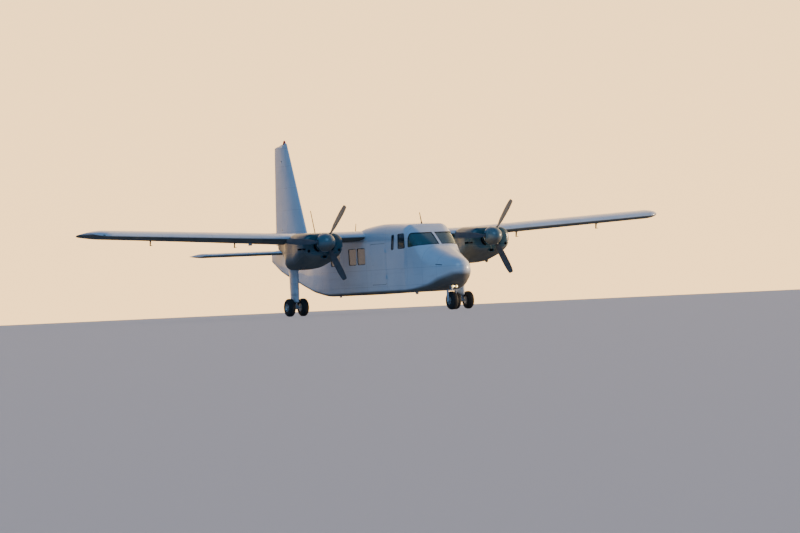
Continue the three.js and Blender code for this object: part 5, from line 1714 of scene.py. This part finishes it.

# Cowl fasteners: quarter-turn steel studs in the burnt finish of the exhaust, along the split lines of each
# cowl and nacelle.
STUD_PITCH = 118
STUD_SIZE = 1.6  # times the size of a rivet
for ending, side in (("port", 1), ("starboard", -1)):
    cowl_lines = []
    for station in (3050, 3424, 3456, 3784, 3816, 4304, 4336):
        row = rows_at(NACELLE_FRAMES, [station], root_from=NACELLE_ROOT)[0]
        ring = frame_ring(row, side * ENGINE_X)
        cowl_lines.append(ring + ring[:1])
    for name in ("cowl_skin", "nacelle_skin"):
        metal = bpy.data.objects[f"{name}_{ending}"]
        riveted(f"{name}_studs_{ending}", metal, cowl_lines, "airframe", "nacelle_paint", steel,
                pitch=STUD_PITCH, size=STUD_SIZE)


# Cabin lining, floor and rear bulkhead. Thin trim sheet follows the wall round the windows and doors; the
# floor is covered with ribbed carpet, and a padded sheet closes the cabin at the back.
FLOOR_Z = 605
LINING_STATIONS = (1790, 7046)
LINING = 3

trim = mottled("cabin_trim", (0.34, 0.33, 0.31), (0.46, 0.45, 0.42), 6.0, 300.0, 0.0008, 0.7)
lining_whole = fuselage_part("cabin_lining", *LINING_STATIONS, WALL + 0.5)
lining_tools = [
    fuselage_part("hollow", LINING_STATIONS[0] - 30, LINING_STATIONS[1] + 30, WALL + 0.5 + LINING),
    block("below_floor", (-700, LINING_STATIONS[0] - 40, 300), (700, LINING_STATIONS[1] + 40, FLOOR_Z + 2)),
    *outline_tools(-10),
    *[door_tool(name, -16) for name in DOORS],
]
mount(cut(lining_whole, *lining_tools), "airframe", "cloth", trim)

carpet = Finish("cabin_carpet", roughness=0.95)
x, y, z = carpet.axes()
ribs = (x * 350.0).math("SINE") * 0.5 + carpet.noise(90.0)
carpet.paint("Base Color", carpet.blend(carpet.noise(7.0), (0.045, 0.047, 0.055, 1), (0.10, 0.10, 0.11, 1)))
carpet.bump(ribs, 0.003)


def refinish(node, material):
    """A new finish on a CAD node that keeps its shape"""
    for holder in bpy.data.objects[node].material_slots:
        holder.link = "OBJECT"
        holder.material = material


refinish("cabin_floor", carpet.material)
refinish("rear_bulkhead", trim)


# Instrument panel. A black board under a padded coaming, cut away over each pair of pedals, with round
# instruments in two groups, engine levers in the middle and a control column with a half wheel for each seat.
PANEL_FACE = 1660
DIAL_ROWS = [(1395, 38), (1300, 38), (1205, 34)]
DIAL_COLUMNS = [-410, -320, -230, -140, 140, 230, 320, 410]
COLUMN_X = 265
COLUMN_Z = 1240
COLUMN_END = 1850
WHEEL_REACH = 118

board = common(fuselage_part("instrument_board", 1580, 1720, WALL + 0.6),
               block("board", (-700, 1622, FLOOR_Z + 1), (700, PANEL_FACE, 1490)))
for side in (-1, 1):
    well = side_block(box_corners((1600, 1700), (FLOOR_Z - 60, 1080)), 40, sorted((side * 90, side * 430)))
    cut(board, well)
coaming = common(fuselage_part("coaming", 1520, 1860, WALL + 0.6),
                 side_block([(1560, 1470), (1790, 1462), (1798, 1486), (1560, 1512)], 11, (-700, 700)))
panel_paint = mottled("panel_paint", (0.03, 0.032, 0.036), (0.065, 0.068, 0.075), 20.0, 350.0, 0.0008, 0.55)
panel_shells = [board, coaming]
mark_shells = []
for z, radius in DIAL_ROWS:
    for x in DIAL_COLUMNS:
        bezel = rod("bezel", (x, PANEL_FACE - 2, z), (x, PANEL_FACE + 9, z), radius, radius - 2, 32)
        recess = rod("recess", (x, PANEL_FACE + 3, z), (x, PANEL_FACE + 20, z), radius - 5, sides=32)
        panel_shells.append(cut(bezel, recess))
        for mark in range(10):
            angle = math.radians(36 * mark)
            inner, outer = radius - 14, radius - 8
            ends = [(x + r * math.sin(angle), PANEL_FACE + 3.6, z + r * math.cos(angle))
                    for r in (inner, outer)]
            mark_shells.append(rod("mark", *ends, 1.0, 1.0, 6))
        needle = math.radians((x * 7 + z * 3) % 360)
        tip = (x + (radius - 12) * math.sin(needle), PANEL_FACE + 4.4, z + (radius - 12) * math.cos(needle))
        mark_shells.append(rod("needle", (x, PANEL_FACE + 4.4, z), tip, 1.8, 0.8, 6))
for number in range(6):
    x = (number - 2.5) * 26
    knob = (x, PANEL_FACE + 66, 1120)
    panel_shells.append(rod("lever", (x, PANEL_FACE - 4, 1112), knob, 4, 4, 12))
    panel_shells.append(rod("knob", (x, PANEL_FACE + 58, 1119), (x, PANEL_FACE + 84, 1122), 10, 9, 16))
for side in (-1, 1):
    x = side * COLUMN_X
    column = [(x, station, COLUMN_Z) for station in (PANEL_FACE - 10, COLUMN_END - 8)]
    panel_shells.append(rod("column", *column, 13, sides=20))
    boss = [(x, station, COLUMN_Z) for station in (COLUMN_END - 18, COLUMN_END + 8)]
    panel_shells.append(rod("boss", *boss, 34, 30, 28))
    grips = [(x + reach, COLUMN_END, COLUMN_Z) for reach in (-WHEEL_REACH, WHEEL_REACH)]
    panel_shells.append(rod("bar", *grips, 12, sides=20))
    for hand in (-1, 1):
        low = (x + hand * WHEEL_REACH, COLUMN_END, COLUMN_Z - 12)
        high = (x + hand * (WHEEL_REACH + 12), COLUMN_END - 4, COLUMN_Z + 92)
        panel_shells.append(rod("horn", low, high, 14, 15, 20))
    for pedal in (x - 60, x + 60):
        plate = box_corners((1642, 1654), (FLOOR_Z + 60, FLOOR_Z + 165))
        panel_shells.append(side_block(plate, 5, (pedal - 38, pedal + 38)))
        arm = [(pedal, 1640, FLOOR_Z + 2), (pedal, 1646, FLOOR_Z + 80)]
        panel_shells.append(rod("pedal_arm", *arm, 8, 8, 12))
mount(joined("instrument_board", panel_shells), "airframe", "black_plastic", panel_paint, "instrument_panel")
dial_marks = Finish("dial_marks", roughness=0.5)
print_noise = dial_marks.noise(50.0)
dial_marks.paint("Base Color", dial_marks.blend(print_noise, (0.70, 0.70, 0.66, 1), (0.85, 0.85, 0.80, 1)))
mount(joined("dial_marks", mark_shells), "airframe", "black_plastic", dial_marks.material)


# Seats. Each has a steel tube frame with a pan and a back sheet, and foam cushions in dark blue-grey woven
# cloth. The cushions are blown up from a slack cover by a cloth simulation, then sewn down in channels.
SEAT_TOP = FLOOR_Z + 420
SEAT_UNDER = SEAT_TOP - 110
BACK_TOP = SEAT_TOP + 470
FRONT_SEAT = (265, 215, 2330)
BENCH_HALF = 500
BENCH_FRONTS = [3150, 3950, 4750, 5550]
SWELL_FRAMES = 16
SWELL_CAP = 0.016
SEWN_WIDTH = 0.009
SEWN_DEPTH = 0.013
CROWN = 0.010
BENCH_CHANNELS = (-322, -161, 0, 161, 322)
PADS = {
    # lowest and highest corner, voxel, places of the sewn channels across, in millimetres
    "front_cushion": ((62, 2342, SEAT_UNDER + 14), (468, 2722, SEAT_TOP - 12), 11, (165, 265, 365)),
    "front_back": ((66, 2748, SEAT_TOP - 8), (464, 2812, BACK_TOP - 14), 11, (165, 265, 365)),
    "bench_cushion": ((-484, 3162, SEAT_UNDER + 14), (484, 3542, SEAT_TOP - 12), 15, BENCH_CHANNELS),
    "bench_back": ((-480, 3568, SEAT_TOP - 8), (480, 3632, BACK_TOP - 14), 15, BENCH_CHANNELS),
}


def seat_frame(x, half, front):
    """Shells of the frame of one seat: pan, back sheet, legs and the bars between them"""
    sheet = (x - half + 8, x + half - 8)
    pan = box_corners((front + 4, front + 398), (SEAT_UNDER - 6, SEAT_UNDER + 10))
    back = box_corners((front + 486, front + 498), (SEAT_UNDER, BACK_TOP - 4))
    shells = [side_block(pan, 7, sheet), side_block(back, 5, sheet)]
    foot_z, pan_z = FLOOR_Z + 12, SEAT_UNDER - 2
    legs = (x - half + 60, x + half - 60)
    for leg_x in legs:
        for name, *ends, radius in (
            # both ends of each bar as distance aft of the seat's front and height, and its radius
            ("leg", (70, FLOOR_Z + 1), (70, pan_z), 11),
            ("leg", (370, FLOOR_Z + 1), (370, pan_z), 11),
            ("rail", (30, foot_z), (480, foot_z), 11),
            ("back_tube", (470, SEAT_UNDER), (476, BACK_TOP - 40), 11),
            ("brace", (370, foot_z + 90), (470, SEAT_UNDER + 8), 9),
        ):
            shells.append(rod(name, *[(leg_x, front + back, z) for back, z in ends], radius, sides=16))
    for station in (front + 70, front + 370):
        shells.append(rod("cross", *[(leg_x, station, pan_z - 30) for leg_x in legs], 9, sides=16))
    return shells


def slack_cover(name, lows, highs, voxel):
    """A box with round edges, remeshed evenly"""
    form = bmesh.new()
    bmesh.ops.create_cube(form, size=1.0)
    lows, highs = (Vector(metres(corner)) for corner in (lows, highs))
    for vertex in form.verts:
        vertex.co = [low + (at + 0.5) * (high - low) for low, high, at in zip(lows, highs, vertex.co)]
    bmesh.ops.bevel(form, geom=form.edges[:], offset=0.022, segments=4, profile=0.5, affect="EDGES")
    mesh = bpy.data.meshes.new(name)
    form.to_mesh(mesh)
    form.free()
    cover = laid(name, mesh)
    remesh = cover.modifiers.new("even", "REMESH")
    remesh.mode = "VOXEL"
    remesh.voxel_size = voxel / 1000
    freeze(cover)
    return cover


def points_of(mesh):
    points = np.empty(len(mesh.vertices) * 3)
    mesh.vertices.foreach_get("co", points)
    return points.reshape(-1, 3)


covers = {name: slack_cover(name, lows, highs, voxel) for name, (lows, highs, voxel, _) in PADS.items()}
slack = {name: points_of(cover.data) for name, cover in covers.items()}
for cover in covers.values():
    cloth = cover.modifiers.new("swell", "CLOTH")
    cloth.settings.use_pressure = True
    cloth.settings.uniform_pressure_force = 4.0
    cloth.settings.effector_weights.gravity = 0.0
    cloth.point_cache.frame_end = SWELL_FRAMES
for frame_number in range(1, SWELL_FRAMES + 1):
    bpy.context.scene.frame_set(frame_number)
graph = bpy.context.evaluated_depsgraph_get()
swollen = {name: points_of(cover.evaluated_get(graph).data) for name, cover in covers.items()}
for cover in covers.values():
    cover.modifiers.clear()
bpy.context.scene.frame_set(1)

weave = Finish("seat_cloth", roughness=0.92)
x, y, z = weave.axes()
threads = (x * 1400.0).math("SINE") * 0.5 + ((y + z) * 1400.0).math("SINE") * 0.5
fading = weave.rise(weave.noise(5.0), 0.35, 0.7)
weave.paint("Base Color", weave.blend(fading, (0.05, 0.07, 0.10, 1), (0.12, 0.14, 0.18, 1)))
weave.shader.inputs["Sheen Weight"].default_value = 0.4
weave.bump(threads + weave.noise(60.0) * 2.0, 0.0012)

for name, (lows, highs, _, channels) in PADS.items():
    start, moved = slack[name], swollen[name]
    travel = moved - start
    far = np.linalg.norm(travel, axis=1, keepdims=True)
    points = start + travel * np.minimum(1.0, SWELL_CAP / np.maximum(far, 1e-9))
    low, high = (np.array(metres(corner)) for corner in (lows, highs))
    lying = "cushion" in name
    depth_axis = 2 if lying else 1
    shown_end = high[2] if lying else low[1]
    depth = (high - low)[depth_axis]
    outer = np.clip(1 - np.abs(points[:, depth_axis] - shown_end) / (0.55 * depth), 0, 1)
    along_axis = 1 if lying else 2
    share = (points[:, along_axis] - low[along_axis]) / (high - low)[along_axis]
    middle_part = np.clip(np.minimum(share, 1 - share) / 0.16, 0, 1)
    crown = CROWN * np.sin(np.pi * np.clip(share, 0, 1))
    sewn = sum(np.exp(-(((points[:, 0] - place / 1000) / SEWN_WIDTH) ** 2)) for place in channels)
    sink = sewn * SEWN_DEPTH * middle_part
    points[:, depth_axis] += (1 if lying else -1) * outer * (crown - sink)
    if lying:
        points[:, 2] = np.maximum(points[:, 2], (SEAT_UNDER + 11) / 1000)
    else:
        points[:, 1] = np.minimum(points[:, 1], low[1] + (486 - 418) / 1000)
    cover = covers[name]
    cover.data.vertices.foreach_set("co", points.ravel())
    cover.modifiers.new("finer", "SUBSURF").levels = 1
    cover.modifiers["finer"].render_levels = 1
    freeze(cover)


def cushioned(piece, name, move=0.0):
    """A cushion at its place, moved aft by whole rows"""
    piece.name = name
    piece.data.transform(Matrix.Translation((0, move / 1000, 0)))
    mount(piece, "airframe", "cloth", weave.material, sharp=80)


frame_paint = mottled("seat_frame_paint", (0.16, 0.165, 0.17), (0.26, 0.265, 0.27), 12.0, 120.0, 0.0006, 0.4,
                      metallic=0.3)
front_frame = joined("front_seat_frame", seat_frame(*FRONT_SEAT))
mount_pair(front_frame, "front_seat_frame", "airframe", "alloy", frame_paint, "front_seat")
for name in ("front_cushion", "front_back"):
    cushioned(mirrored(covers[name]), name + "_starboard")
    cushioned(covers[name], name + "_port")
bench_shells = [shell for front in BENCH_FRONTS for shell in seat_frame(0, BENCH_HALF, front)]
mount(joined("bench_frames", bench_shells), "airframe", "alloy", frame_paint, "cabin_benches")
for row, front in enumerate(BENCH_FRONTS):
    for name in ("bench_cushion", "bench_back"):
        cushioned(twin(covers[name]), f"{name}_{row + 1}", front - BENCH_FRONTS[0])
for name in ("bench_cushion", "bench_back"):
    bpy.data.objects.remove(covers[name])
